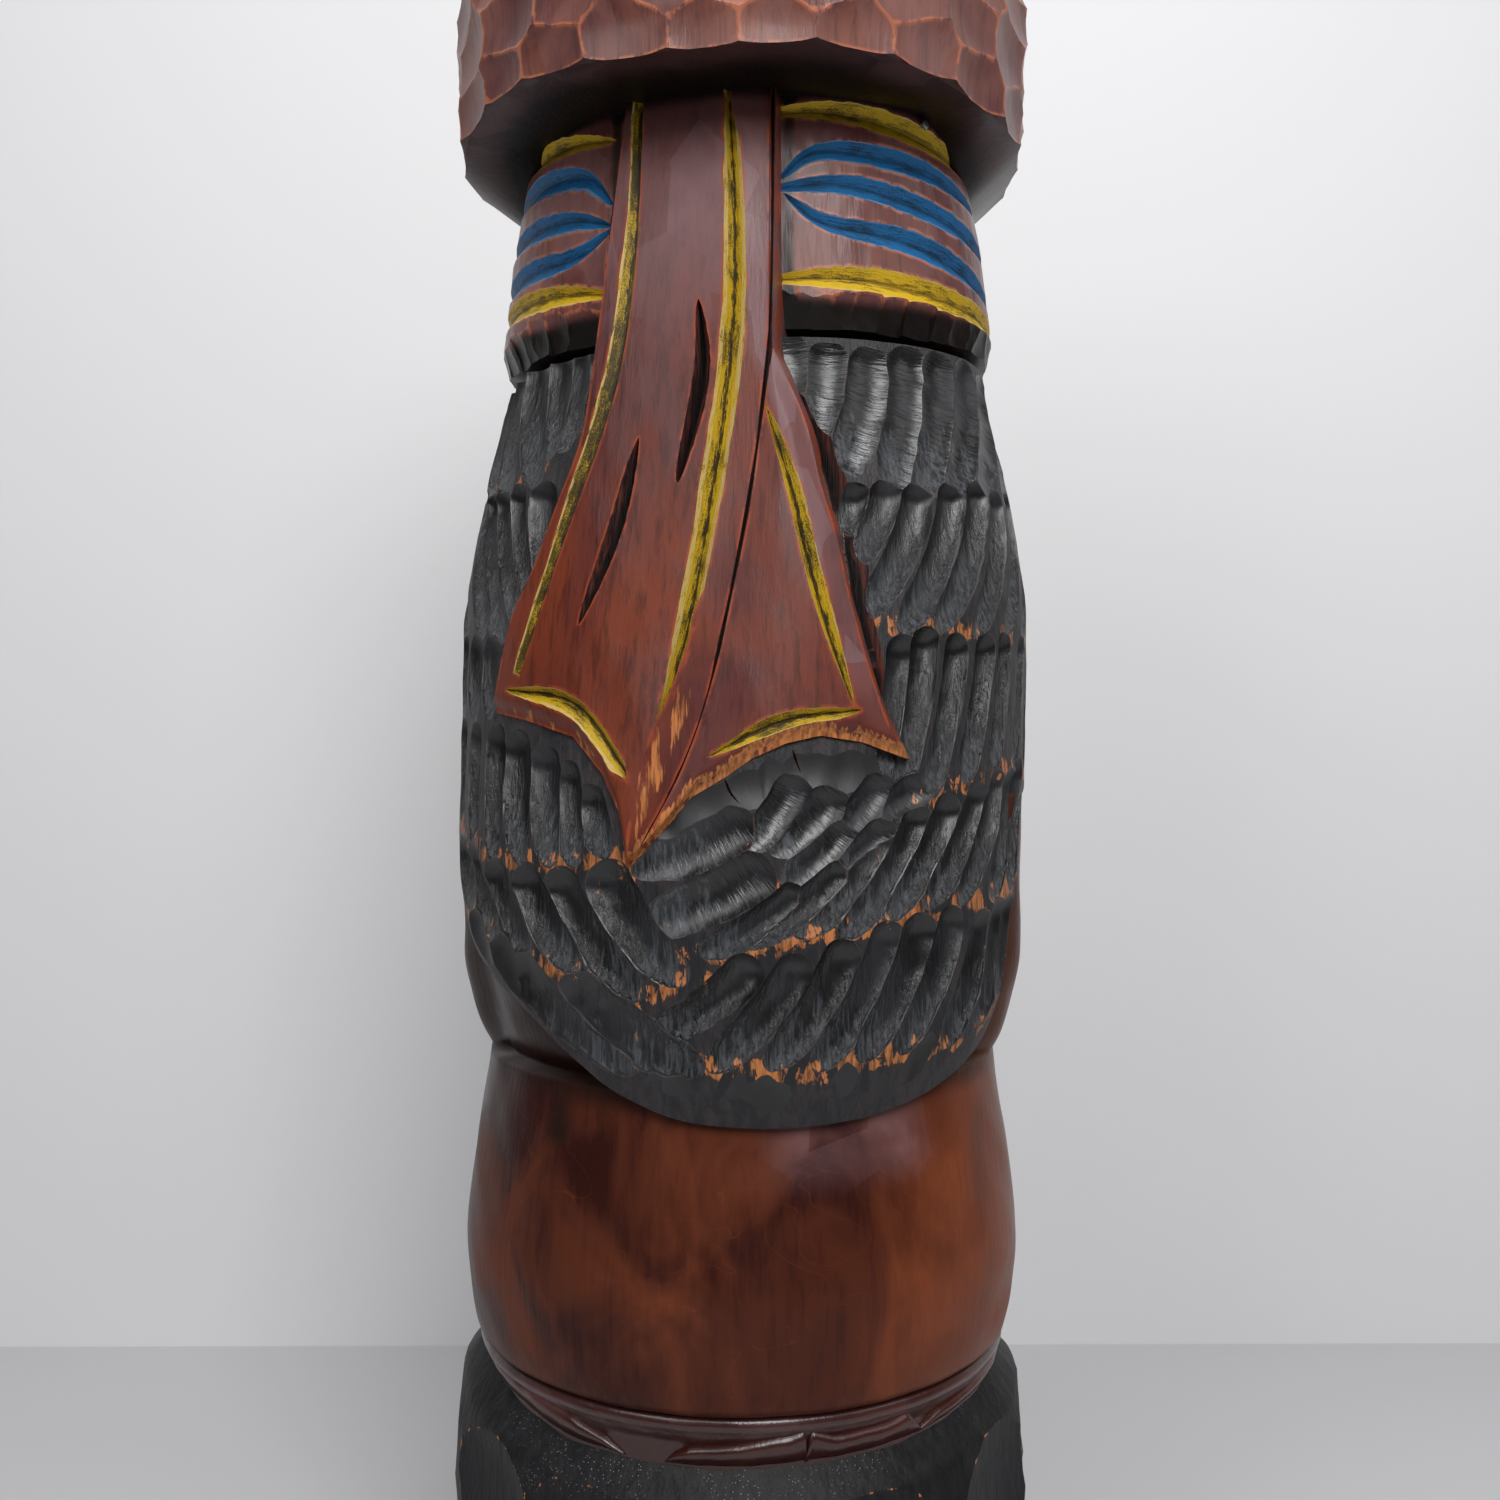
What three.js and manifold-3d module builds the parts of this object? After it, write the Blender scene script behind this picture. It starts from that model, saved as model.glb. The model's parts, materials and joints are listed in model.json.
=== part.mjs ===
// A totem pole carved from one round log: a capped head with a long flat nose and painted eye
// lines, a gouged beard, a smooth belly with a rope belt, and a black drum on a low round base.
// Millimetres, +Z up, the face looks along -Y. The origin is the middle of the underside.
// Angles are degrees about the pole, 0 at the front and positive towards +X.
import * as THREE from "three";
import { mergeVertices } from "three/addons/utils/BufferGeometryUtils.js";
import Module from "manifold-3d";

// ---- Driving dimensions ----
const LOG_RADIUS = 150;
const BASE_RADIUS = 156;
const BASE_HEIGHT = 42;
const BELT_TOP = 230;
const EYE_BAND_LOW = 733;
const CAP_RIM = 841;
const POLE_HEIGHT = 985;
const NOSE_TIP = 478;
const GOUGE_DEPTH = 5.5;
const LINE_WIDTH = 8;
const LINE_DEPTH = 4.5;
const SLAB = 30;
const FLAT_SPREAD = 2.3; // each adze flat is cut this much past its own share of the surface
const EGG_GROWTH = 1.1; // makes up for the egg's flat faces
const NAIL = { angle: 67, z: 840.5, headRadius: 2.6, headHeight: 1.6, shankRadius: 1.2, shank: 16 };
const CLEARANCE = 0.3;

const RADIANS = Math.PI / 180;

// ---- Tables and small sums ----

// Straight lines between the [place, value] pairs of a table.
function along(table, place) {
  const next = table.findIndex(([at]) => at >= place);
  if (next < 0) return table[table.length - 1][1];
  if (next === 0) return table[0][1];
  const [[from, a], [to, b]] = [table[next - 1], table[next]];
  return a + ((b - a) * (place - from)) / (to - from);
}

const mix = (a, b, share) => a + (b - a) * share;
const smooth = (from, to, at) => THREE.MathUtils.smoothstep(at, from, to);

// A repeatable number from -0.5 to 0.5 for each whole number.
const uneven = (n) => THREE.MathUtils.euclideanModulo(Math.sin(n * 12.9898) * 43758.5453, 1) - 0.5;

// The point at an angle, a distance from the axis and a height.
function around(angle, radius, z) {
  const turn = angle * RADIANS;
  return new THREE.Vector3(radius * Math.sin(turn), -radius * Math.cos(turn), z);
}

// A section that is a round log behind and an ellipse in front: side is its half width there
// and front its reach along -Y.
function flattened(angle, side, front) {
  const [s, c] = [Math.sin(angle * RADIANS), Math.cos(angle * RADIANS)];
  return c > 0 ? 1 / Math.hypot(s / side, c / front) : side;
}

// ---- Solids ----
const wasm = await Module();
wasm.setup();

// A closed geometry as a solid, without the triangles that have shrunk to a line.
function solidOf(geometry) {
  const bare = geometry.clone();
  bare.deleteAttribute("normal");
  bare.deleteAttribute("uv");
  const merged = mergeVertices(bare, 1e-3);
  const index = merged.index.array;
  const kept = [];
  for (let i = 0; i < index.length; i += 3) {
    const [a, b, c] = index.slice(i, i + 3);
    if (a !== b && b !== c && c !== a) kept.push(a, b, c);
  }
  const meshOf = (triVerts) =>
    new wasm.Mesh({
      numProp: 3,
      vertProperties: new Float32Array(merged.attributes.position.array),
      triVerts: new Uint32Array(triVerts),
    });
  const made = new wasm.Manifold(meshOf(kept));
  return made.volume() > 0 ? made : new wasm.Manifold(meshOf(kept.reverse()));
}

function geometryOf(solid) {
  const { vertProperties, triVerts } = solid.getMesh();
  const geometry = new THREE.BufferGeometry();
  geometry.setAttribute("position", new THREE.BufferAttribute(vertProperties, 3));
  geometry.setIndex(new THREE.BufferAttribute(triVerts, 1));
  geometry.computeVertexNormals();
  return geometry;
}

const join = (solids) => solids.reduce((whole, solid) => whole.add(solid));
const cut = (solid, cutters) => solid.subtract(join(cutters));

// Moves every vertex of a geometry to place(x, y, z).
function reshaped(geometry, place) {
  const position = geometry.attributes.position;
  for (let i = 0; i < position.count; i++) {
    const to = place(position.getX(i), position.getY(i), position.getZ(i));
    position.setXYZ(i, to.x, to.y, to.z);
  }
  return geometry;
}

// A block turned on the pole's axis whose profile changes with the angle: profileAt(angle)
// gives [radius, z] pairs from the axis at the bottom to the axis at the top.
function turned(profileAt, sides) {
  const steps = profileAt(0).length;
  const outline = Array.from({ length: steps }, (_, i) => new THREE.Vector2(1, i));
  const lathe = new THREE.LatheGeometry(outline, sides);
  return solidOf(
    reshaped(lathe, (x, y, z) => {
      const angle = (Math.round((Math.atan2(x, z) / (2 * Math.PI)) * sides) * 360) / sides;
      const [radius, height] = profileAt(angle === -180 ? 180 : angle)[Math.round(y)];
      return around(angle, radius, height);
    }),
  );
}

// A thick patch bent round the pole between two angles. lowAt and highAt give its edges, and
// outerAt(angle, z, share) its surface, with share running from 0 at the low edge to 1.
function patch({ from, to, lowAt, highAt, outerAt, inner, columns, rows }) {
  const block = new THREE.BoxGeometry(1, 1, 1, columns, rows, 1);
  return solidOf(
    reshaped(block, (x, y, z) => {
      const angle = mix(from, to, x + 0.5);
      const share = y + 0.5;
      const height = mix(lowAt(angle), highAt(angle), share);
      return around(angle, z > 0 ? outerAt(angle, height, share) : inner, height);
    }),
  );
}

// A tapered V-cut along points on a surface. The section is a four-sided spindle, half in the
// wood, that closes to nothing at both ends unless blunt leaves it some width there.
function lineCut(points, outwards, { width = LINE_WIDTH, depth = LINE_DEPTH, blunt = 0 } = {}) {
  const path = new THREE.CatmullRomCurve3(points);
  const steps = points.length;
  const spindle = new THREE.CylinderGeometry(1, 1, 1, 4, steps);
  return solidOf(
    reshaped(spindle, (x, y, z) => {
      const share = y + 0.5;
      const centre = path.getPoint(share);
      const out = outwards(centre);
      const side = new THREE.Vector3().crossVectors(path.getTangent(share), out).normalize();
      const swell = Math.max(blunt, Math.sin(Math.PI * Math.min(Math.max(share, 0), 1)) ** 0.6);
      return centre
        .addScaledVector(side, x * 0.6 * width * swell)
        .addScaledVector(out, z * depth * (0.25 + 0.75 * swell));
    }),
  );
}

// The scoop that one gouge stroke leaves: an egg between two points on the surface, sized so
// that it meets the wood in the stroke's width and goes in by its depth.
function gougeStroke(start, end, middle, width, depth) {
  const out = new THREE.Vector3(middle.x, middle.y, 0).normalize();
  const round = (width * width) / (8 * depth) + depth / 2;
  const lift = round - depth;
  const reach = start.distanceTo(end) / 2 / Math.sqrt(1 - (lift / round) ** 2);
  const lengthways = new THREE.Vector3().subVectors(end, start).normalize();
  const across = new THREE.Vector3().crossVectors(lengthways, out).normalize();
  const inwards = new THREE.Vector3().crossVectors(across, lengthways);
  const frame = new THREE.Matrix4().makeBasis(
    across.clone().multiplyScalar(round),
    lengthways.clone().multiplyScalar(reach),
    inwards.clone().multiplyScalar(round),
  );
  frame.setPosition(middle.clone().addScaledVector(out, lift));
  const egg = new THREE.SphereGeometry(EGG_GROWTH, 6, 4, Math.PI / 6);
  egg.applyMatrix4(frame);
  return solidOf(egg);
}

// One adze flat: a slab whose lower face is the facet, with its middle at a point and facing
// along out.
function adzeFlat(point, out, width, height) {
  const slab = new THREE.BoxGeometry(width, SLAB, height);
  const across = new THREE.Vector3(0, 0, 1).cross(out).normalize();
  if (across.lengthSq() < 0.5) across.set(1, 0, 0);
  const upwards = new THREE.Vector3().crossVectors(across, out);
  slab.applyMatrix4(new THREE.Matrix4().makeBasis(across, out, upwards));
  const centre = point.clone().addScaledVector(out, SLAB / 2);
  slab.translate(centre.x, centre.y, centre.z);
  return solidOf(slab);
}

// A ring of adze flats: count of them at one height, on a surface that leans back by tilt.
function adzeRing({ z, radius, tilt, count, height, seed }) {
  return Array.from({ length: count }, (_, i) => {
    const odd = seed * 31 + i;
    const angle = ((i + 0.5 * (seed % 2) + 0.35 * uneven(odd)) * 360) / count;
    const width = ((2 * Math.PI * radius) / count) * FLAT_SPREAD;
    const lean = (tilt + 3 * uneven(odd + 3)) * RADIANS;
    const flat = around(angle, 1, 0);
    const out = new THREE.Vector3(flat.x * Math.cos(lean), flat.y * Math.cos(lean), Math.sin(lean));
    const point = around(angle, radius + uneven(odd + 5), z + 0.2 * height * uneven(odd + 11));
    return adzeFlat(point, out, width, FLAT_SPREAD * height);
  });
}

// ---- Body, neck and the back of the head ----
const BODY_PROFILE = [
  [BELT_TOP - 3, 133],
  [BELT_TOP + 1, 140.6],
  [251, 144.8],
  [277, 146.6],
  [314, 143.3],
  [374, 134.4],
];
const HEAD_BACK_PROFILE = [
  [398, 144],
  [425, 149],
  [508, 149.5],
];
const BEARD_SIDES = [-68, 87];

// How far an angle lies behind the beard: 1 under it, 0 where the bare head shows.
function behindBeard(angle) {
  const [left, right] = BEARD_SIDES;
  return smooth(left - 2, left + 14, angle) * (1 - smooth(right - 14, right + 2, angle));
}

function body() {
  return turned(
    (angle) => [
      [0, 100],
      [126, 100],
      ...BODY_PROFILE.map(([z, radius]) => [radius, z]),
      ...HEAD_BACK_PROFILE.map(([z, radius]) => [radius - 11 * behindBeard(angle), z]),
      [flattened(angle, 118, 78), 530],
      [flattened(angle, 112, 76), EYE_BAND_LOW + 20],
      [0, EYE_BAND_LOW + 20],
    ],
    28,
  );
}

// ---- Hair and beard ----
const HAIR_SIDE = [
  [360, 144],
  [398, 147.5],
  [425, 150.5],
  [530, 151.5],
  [592, 152.5],
  [670, 141.5],
  [728, 129],
];
const HAIR_FRONT = [
  [360, 144],
  [398, 147.5],
  [440, 151],
  [478, 150.5],
  [530, 143],
  [592, 131],
  [653, 116],
  [728, 97],
];
const HAIR_LOW = 503;
const HAIR_TOP = 727;
// The beard's lower edge, round the pole, from the hair's lower edge on the left to the right.
const BEARD_EDGE = [
  [-68, HAIR_LOW],
  [-62, 458],
  [-52, 434],
  [-41, 420],
  [-30, 407],
  [-17, 386],
  [-7, 372],
  [7, 362],
  [22, 360],
  [37, 362],
  [50, 368],
  [61, 377],
  [69, 387],
  [75, 402],
  [82, 458],
  [87, HAIR_LOW],
];
const LIP_DROP = 3.5;
const LIP_STEPS = [0, 0.06, 0.16];

const hairRadius = (angle, z) => flattened(angle, along(HAIR_SIDE, z), along(HAIR_FRONT, z));

// The hair goes all round and the beard hangs from it in front. The lower edge rolls inwards.
function hairAndBeard() {
  return turned((angle) => {
    const low = along(BEARD_EDGE, angle);
    const lip = LIP_STEPS.map((share) => {
      const rolled = 1 - share / LIP_STEPS[2];
      const z = mix(low, 560, share);
      return [hairRadius(angle, z) - LIP_DROP * rolled * rolled, z];
    });
    const upper = [mix(low, 560, 0.58), 560, 592, 653, 690, HAIR_TOP];
    return [
      [0, HAIR_LOW],
      [100, low],
      ...lip,
      ...upper.map((z) => [hairRadius(angle, z), z]),
      [0, HAIR_TOP],
    ];
  }, 30);
}

// Rows of gouge strokes. The keys are strokes as [upper angle, upper z, lower angle, lower z],
// and the row's strokes lie evenly between them.
const GOUGE_ROWS = [
  { keys: [[29, 730, 31, 670], [57, 730, 53, 656], [102, 731, 99, 660]], count: 5, width: 38 },
  { keys: [[46, 660, 36, 608], [62, 666, 44, 583], [104, 670, 99, 584]], count: 6, width: 33 },
  { keys: [[43, 583, 40, 544], [53, 591, 43, 506], [104, 595, 98, 516]], count: 6, width: 33 },
  { keys: [[27, 473, 10, 437], [41, 502, 25, 442], [60, 519, 44, 452], [86, 533, 80, 470]],
    count: 7, width: 33 },
  { keys: [[16, 444, -1, 399], [32, 451, 19, 383], [75, 464, 70, 404]], count: 6, width: 34 },
  { keys: [[16, 502, -3, 470], [19, 482, -1, 452]], count: 2, width: 30 },
  { keys: [[25, 522, 16, 486], [33, 514, 22, 478], [50, 520, 42, 496]], count: 3, width: 30 },
  { keys: [[-28, 734, -28, 690], [-62, 742, -48, 662], [-92, 742, -84, 660]], count: 4, width: 40 },
  { keys: [[-28, 663, -28, 612], [-47, 666, -31, 590], [-92, 673, -88, 590]], count: 5, width: 33 },
  { keys: [[-38, 593, -36, 556], [-54, 595, -50, 542], [-92, 603, -88, 541]], count: 3, width: 34 },
  { keys: [[-11, 509, -7, 476], [-25, 537, -20, 476], [-94, 561, -88, 512]], count: 7, width: 33 },
  { keys: [[-9, 483, 6, 427], [-20, 479, -4, 417]], count: 2, width: 33 },
  { keys: [[-29, 481, -14, 426], [-49, 485, -36, 436], [-62, 492, -54, 456]], count: 3, width: 32 },
  { keys: [[-15, 427, 7, 383], [-30, 433, -3, 380]], count: 2, width: 34 },
  { keys: [[104, 735, 104, 662], [262, 737, 262, 664]], count: 10, width: 54 },
  { keys: [[105, 667, 105, 587], [262, 669, 262, 594]], count: 10, width: 54 },
  { keys: [[105, 593, 105, 512], [262, 599, 262, 520]], count: 10, width: 54 },
];

function gougeRow({ keys, count, width }, row) {
  const number = (i) => keys.map((key, place) => [place / (keys.length - 1), key[i]]);
  return Array.from({ length: count }, (_, i) => {
    const odd = row * 57 + i * 3;
    const share = (i + 0.22 * uneven(odd)) / (count - 1);
    const [highAngle, high, lowAngle, low] = [0, 1, 2, 3].map((n) => along(number(n), share));
    const [top, bottom] = [high + 4 * uneven(odd + 1), low + 4 * uneven(odd + 2)];
    const on = (angle, z) => around(angle, hairRadius(angle, z), z);
    return gougeStroke(
      on(highAngle, top),
      on(lowAngle, bottom),
      on((highAngle + lowAngle) / 2, (top + bottom) / 2),
      width * (1 + 0.14 * uneven(odd + 4)),
      GOUGE_DEPTH * (1 + 0.2 * uneven(odd + 5)),
    );
  });
}

// ---- Eye band ----
const EYE_SIDE = [
  [EYE_BAND_LOW, 131],
  [743, 134.5],
  [753, 133],
  [795, 128],
  [826, 121.5],
  [850, 119],
];
const EYE_FRONT = [
  [EYE_BAND_LOW, 90],
  [743, 94],
  [850, 90],
];
const eyeRadius = (angle, z) => flattened(angle, along(EYE_SIDE, z), along(EYE_FRONT, z));

function eyeBand() {
  const levels = [EYE_BAND_LOW, 743, 753, 850];
  return turned(
    (angle) => [
      [0, EYE_BAND_LOW - 12],
      [flattened(angle, 108, 74), EYE_BAND_LOW - 12],
      [flattened(angle, 112, 78), EYE_BAND_LOW - 3],
      ...levels.map((z) => [eyeRadius(angle, z), z]),
      [0, 850],
    ],
    26,
  );
}

// The painted lines round each eye as [angle, z] points.
const EYE_LINES = [
  { at: [[20, 836], [40, 839], [64, 835], [96, 824]], width: 11 },
  { at: [[25, 803], [36, 818], [58, 819], [92, 809]], width: 9 },
  { at: [[22, 799], [42, 803], [68, 796], [99, 784]], width: 10 },
  { at: [[27, 797], [36, 785], [60, 778], [99, 760]], width: 10 },
  { at: [[21, 755], [46, 757], [70, 753], [100, 748]], width: 9.5 },
  { at: [[-26, 832], [-44, 838], [-60, 840], [-84, 836]], width: 9 },
  { at: [[-26, 799], [-38, 818], [-56, 824], [-84, 821]], width: 10 },
  { at: [[-26, 789], [-40, 797], [-60, 801], [-87, 798]], width: 10 },
  { at: [[-26, 788], [-38, 779], [-60, 779], [-89, 776]], width: 10 },
  { at: [[-24, 754], [-42, 760], [-64, 763], [-92, 761]], width: 9 },
];

function eyeLineCuts() {
  return EYE_LINES.map(({ at, width }) =>
    lineCut(
      at.map(([angle, z]) => around(angle, eyeRadius(angle, z), z)),
      (point) => new THREE.Vector3(point.x, point.y, 0).normalize(),
      { width },
    ),
  );
}

// ---- Nose ----
// Its outline and its two long lines as [z, x], from the tip up to the cap.
const NOSE_LEFT = [[NOSE_TIP, -100], [548, -94], [566, -91], [593, -84], [615, -72], [644, -60],
  [668, -50], [687, -45], [724, -41.5], [843, -32]];
const NOSE_RIDGE = [[NOSE_TIP, -11], [517, -7], [563, 9], [605, 17.5], [648, 23], [704, 29],
  [734, 29], [780, 24], [843, 22]];
const NOSE_GROOVE = [[NOSE_TIP, -11], [498, 0.5], [524, 13], [558, 24], [616, 33.5], [664, 40],
  [719, 42.5], [843, 38.5]];
const NOSE_RIGHT = [[NOSE_TIP, 122], [526, 106], [548, 96.5], [590, 84], [632, 74], [653, 67.5],
  [679, 61], [708, 49], [719, 44.5], [843, 42]];
// The lower edge as [column, z]: columns 0 to 3 are the left outline, ridge, groove and right
// outline.
const NOSE_LOW = [[0, 548], [0.23, 544], [0.55, 536], [0.78, 519], [0.91, 502], [1, NOSE_TIP],
  [2, NOSE_TIP], [2.09, 509], [2.18, 516], [2.3, 526], [2.46, 533], [2.63, 536.5], [2.83, 533.5],
  [3, 526]];
const NOSE_FRONT = [[NOSE_TIP, 158], [843, 99]];
const NOSE_SIDE = [[NOSE_TIP, 155], [843, 150]];
const NOSE_TOP = 846;
const RIDGE_RISE = [[0, 0], [0.7, 0.5], [1, 3], [2, -2], [2.4, 0], [3, 0]];

// The nose's front at x and z: an ellipse about the pole's axis, with a rise for the ridge.
function noseFront(x, z, column) {
  const side = along(NOSE_SIDE, z);
  return along(NOSE_FRONT, z) * Math.sqrt(1 - (x / side) ** 2) + along(RIDGE_RISE, column);
}

function noseX(column, z) {
  const lines = [NOSE_LEFT, NOSE_RIDGE, NOSE_GROOVE, NOSE_RIGHT].map((line) => along(line, z));
  const first = Math.min(Math.floor(column), 2);
  return mix(lines[first], lines[first + 1], column - first);
}

function nose() {
  const columns = [0, 0.23, 0.55, 0.78, 0.91, 1, 2, 2.09, 2.3, 2.63, 2.83, 3];
  const block = new THREE.BoxGeometry(1, 1, 1, columns.length - 1, 7, 1);
  return solidOf(
    reshaped(block, (x, y, z) => {
      const column = columns[Math.round((x + 0.5) * (columns.length - 1))];
      const height = mix(along(NOSE_LOW, column), NOSE_TOP, y + 0.5);
      const reach = noseX(column, height);
      return new THREE.Vector3(reach, z > 0 ? -noseFront(reach, height, column) : -55, height);
    }),
  );
}

// The lines cut in the nose as [x, z] points, each at its column's height of the surface.
const NOSE_LINES = [
  { at: [[-25.5, 850], [-26, 760], [-31.5, 708], [-56, 629], [-77, 570]], blunt: 0.5 },
  { at: [[19, 834], [26.5, 725], [20, 648], [7, 563.5], [-7, 517]] },
  { at: [[42, 692], [55.5, 653], [68, 605], [85, 550]] },
  { at: [[88, 548], [57, 543], [22, 526]], width: 9 },
  { at: [[-85, 559], [-46.5, 552], [-9, 514]], width: 9 },
  { at: [[41, 846], [43.5, 719], [33.5, 616], [13, 524], [-11, 476]], width: 4, depth: 3, blunt: 0.7 },
  { at: [[10, 740], [13, 712], [4.5, 652]], width: 7, depth: 6 },
  { at: [[-16, 675], [-26, 630], [-42, 588]], width: 8, depth: 6 },
];

function noseLineCuts() {
  return NOSE_LINES.map(({ at, ...size }) =>
    lineCut(
      at.map(([x, z]) => new THREE.Vector3(x, -noseFront(x, z, 2.4), z)),
      (point) => new THREE.Vector3(point.x, point.y, 0).normalize(),
      size,
    ),
  );
}

// ---- Cap ----
// The cap's blank stands this far outside its adze flats.
const BLANK_SPARE = 4;
const CAP_SIDES = [
  [151, CAP_RIM + 10],
  [151, 905],
  [146, 926],
  [137, 946],
  [118, 963],
  [88, 975],
];
const CAP_ROWS = [
  { z: 857, radius: 149, tilt: -5, count: 17, height: 34 },
  { z: 888, radius: 150.5, tilt: 1, count: 16, height: 36 },
  { z: 918, radius: 147.5, tilt: 14, count: 17, height: 33 },
  { z: 945, radius: 137, tilt: 38, count: 13, height: 34 },
  { z: 966, radius: 110, tilt: 58, count: 9, height: 38 },
  { z: 979, radius: 66, tilt: 74, count: 6, height: 54 },
];

// The height where the cap's underside meets the head: flat over the face, lower at the sides
// and the back.
function underCap(angle) {
  const fromMiddle = Math.abs(THREE.MathUtils.euclideanModulo(angle - 4 + 180, 360) - 180);
  return mix(845, 817, smooth(60, 92, fromMiddle));
}

function cap() {
  const blank = turned((angle) => {
    const inner = flattened(angle, 117, 86);
    const rim = CAP_RIM + 5 * Math.sin(3.1 * angle * RADIANS) * Math.sin(2 * angle * RADIANS);
    return [
      [0, CAP_RIM],
      [inner, underCap(angle)],
      [148, rim],
      [151 + BLANK_SPARE, rim + 4],
      ...CAP_SIDES.map(([radius, z]) => [radius + BLANK_SPARE, z + 0.03 * (z - CAP_RIM)]),
      [0, POLE_HEIGHT + BLANK_SPARE],
    ];
  }, 26);
  const upwards = new THREE.Vector3(0, 0, 1);
  const crown = adzeFlat(upwards.clone().setLength(POLE_HEIGHT), upwards, 240, 240);
  return cut(blank, [...CAP_ROWS.flatMap((row, i) => adzeRing({ ...row, seed: i + 1 })), crown]);
}

// ---- Belt ----
// The drum's shoulder climbs at the sides, so the belt narrows there.
const BELT_LOW = [[-180, 214], [-100, 220], [-66, 226], [-45, 216], [-23, 208], [10, 206],
  [47, 208], [70, 212], [94, 217], [140, 214], [180, 214]];
const BELT_ENDS = [
  { from: -100, to: -22, tail: 30 },
  { from: -15, to: 24, tail: 6 },
  { from: 18, to: 50, tail: 10 },
  { from: 44, to: 130, tail: 14 },
];

// One rounded strand of the belt. It narrows to nothing over tail degrees at either end.
function strand({ from, to, tail }) {
  const taper = (angle) => {
    const end = Math.min(angle - from, to - angle) / tail;
    return Math.sqrt(Math.min(Math.max(end, 0.02), 1));
  };
  const middle = (angle) => (along(BELT_LOW, angle) + BELT_TOP - 10) / 2;
  const half = (angle) => ((BELT_TOP - 10 - along(BELT_LOW, angle)) / 2) * taper(angle);
  return patch({
    from,
    to,
    lowAt: (angle) => middle(angle) - half(angle),
    highAt: (angle) => middle(angle) + half(angle),
    outerAt: (angle, z, share) => 134 + 5.5 * taper(angle) * Math.sqrt(1 - (2 * share - 1) ** 2),
    inner: 110,
    columns: Math.ceil((to - from) / 15),
    rows: 3,
  });
}

function belt() {
  const upper = turned(
    () => [
      [0, BELT_TOP - 80],
      [135.5, BELT_TOP - 40],
      [135.5, BELT_TOP - 16],
      [138, BELT_TOP - 9],
      [139.5, BELT_TOP - 5],
      [137, BELT_TOP - 1],
      [0, BELT_TOP - 1],
    ],
    28,
  );
  const back = patch({
    from: 126,
    to: 264,
    lowAt: () => 212,
    highAt: () => BELT_TOP - 11,
    outerAt: (angle, z, share) => 134 + 5 * Math.sqrt(1 - (2 * share - 1) ** 2),
    inner: 110,
    columns: 10,
    rows: 2,
  });
  return join([upper, back, ...BELT_ENDS.map(strand)]);
}

// ---- Drum and base ----
const DRUM_ROWS = [
  { z: 172, radius: 149, tilt: 5, count: 13, height: 52 },
  { z: 120, radius: 149.5, tilt: 0, count: 12, height: 56 },
  { z: 70, radius: 149, tilt: -4, count: 13, height: 52 },
];

function drum() {
  const blank = turned((angle) => {
    const shoulder = along(BELT_LOW, angle);
    return [
      [0, BASE_HEIGHT - 10],
      [LOG_RADIUS - 5, BASE_HEIGHT - 10],
      [LOG_RADIUS - 5, BASE_HEIGHT + 2],
      [LOG_RADIUS + BLANK_SPARE, BASE_HEIGHT + 9],
      [LOG_RADIUS + BLANK_SPARE, shoulder - 38],
      [LOG_RADIUS - 3, shoulder - 15],
      [133.5, shoulder + 1],
      [100, shoulder - 30],
      [0, 150],
    ];
  }, 26);
  return cut(blank, DRUM_ROWS.flatMap((row, i) => adzeRing({ ...row, seed: i + 11 })));
}

function base() {
  return turned(
    () => [
      [0, 0],
      [BASE_RADIUS - 2, 0],
      [BASE_RADIUS, 3],
      [BASE_RADIUS, BASE_HEIGHT - 8],
      [BASE_RADIUS - 8, BASE_HEIGHT],
      [0, BASE_HEIGHT],
    ],
    24,
  );
}

// ---- Nail ----
// A small steel nail with a low round head, driven in under the cap at the end of an eye line.
function nailSolid(grown) {
  const { angle, z, headRadius, headHeight, shankRadius, shank } = NAIL;
  const profile = [
    [0, -shank - grown],
    [shankRadius + grown, -shank - grown + 2],
    [shankRadius + grown, -grown],
    [headRadius + grown, -grown],
    [headRadius + grown, 0.5 * headHeight],
    [0.55 * headRadius, headHeight + grown],
    [0, headHeight + grown],
  ];
  const lathe = new THREE.LatheGeometry(
    profile.map(([radius, y]) => new THREE.Vector2(radius, y)),
    12,
  );
  lathe.rotateX(Math.PI);
  lathe.rotateZ(angle * RADIANS);
  const foot = around(angle, eyeRadius(angle, z) + 1.5, z);
  lathe.translate(foot.x, foot.y, foot.z);
  return solidOf(lathe);
}

// ---- The pole ----
function carvedLog() {
  const gouges = GOUGE_ROWS.flatMap(gougeRow);
  const trunk = cut(body().add(hairAndBeard()), gouges);
  const head = join([cut(eyeBand(), eyeLineCuts()), cap()]);
  const foot = join([belt(), drum(), base()]);
  const whole = join([trunk, head, cut(nose(), noseLineCuts()), foot]);
  return cut(whole, [nailSolid(CLEARANCE)]);
}

function named(name, solid, colour, roughness, metalness) {
  const material = new THREE.MeshStandardMaterial({ color: colour, roughness, metalness });
  const mesh = new THREE.Mesh(geometryOf(solid), material);
  mesh.name = name;
  return mesh;
}

const totemPole = new THREE.Group();
totemPole.add(named("carved_log", carvedLog(), 0x6e3422, 0.45, 0));
totemPole.add(named("nail", nailSolid(0), 0x8d8f92, 0.3, 1));

export default totemPole;
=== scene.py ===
"""The dressed totem pole: a log carved with gouges and an adze, then varnished and painted.

Every shape is worked out in millimetres, +Z up, with the face looking along -Y and the origin in
the middle of the underside. Angles are degrees about the pole, 0 at the front and positive
towards +X. The meshes are made in metres.
"""

import json
import math
from typing import NamedTuple

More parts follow.
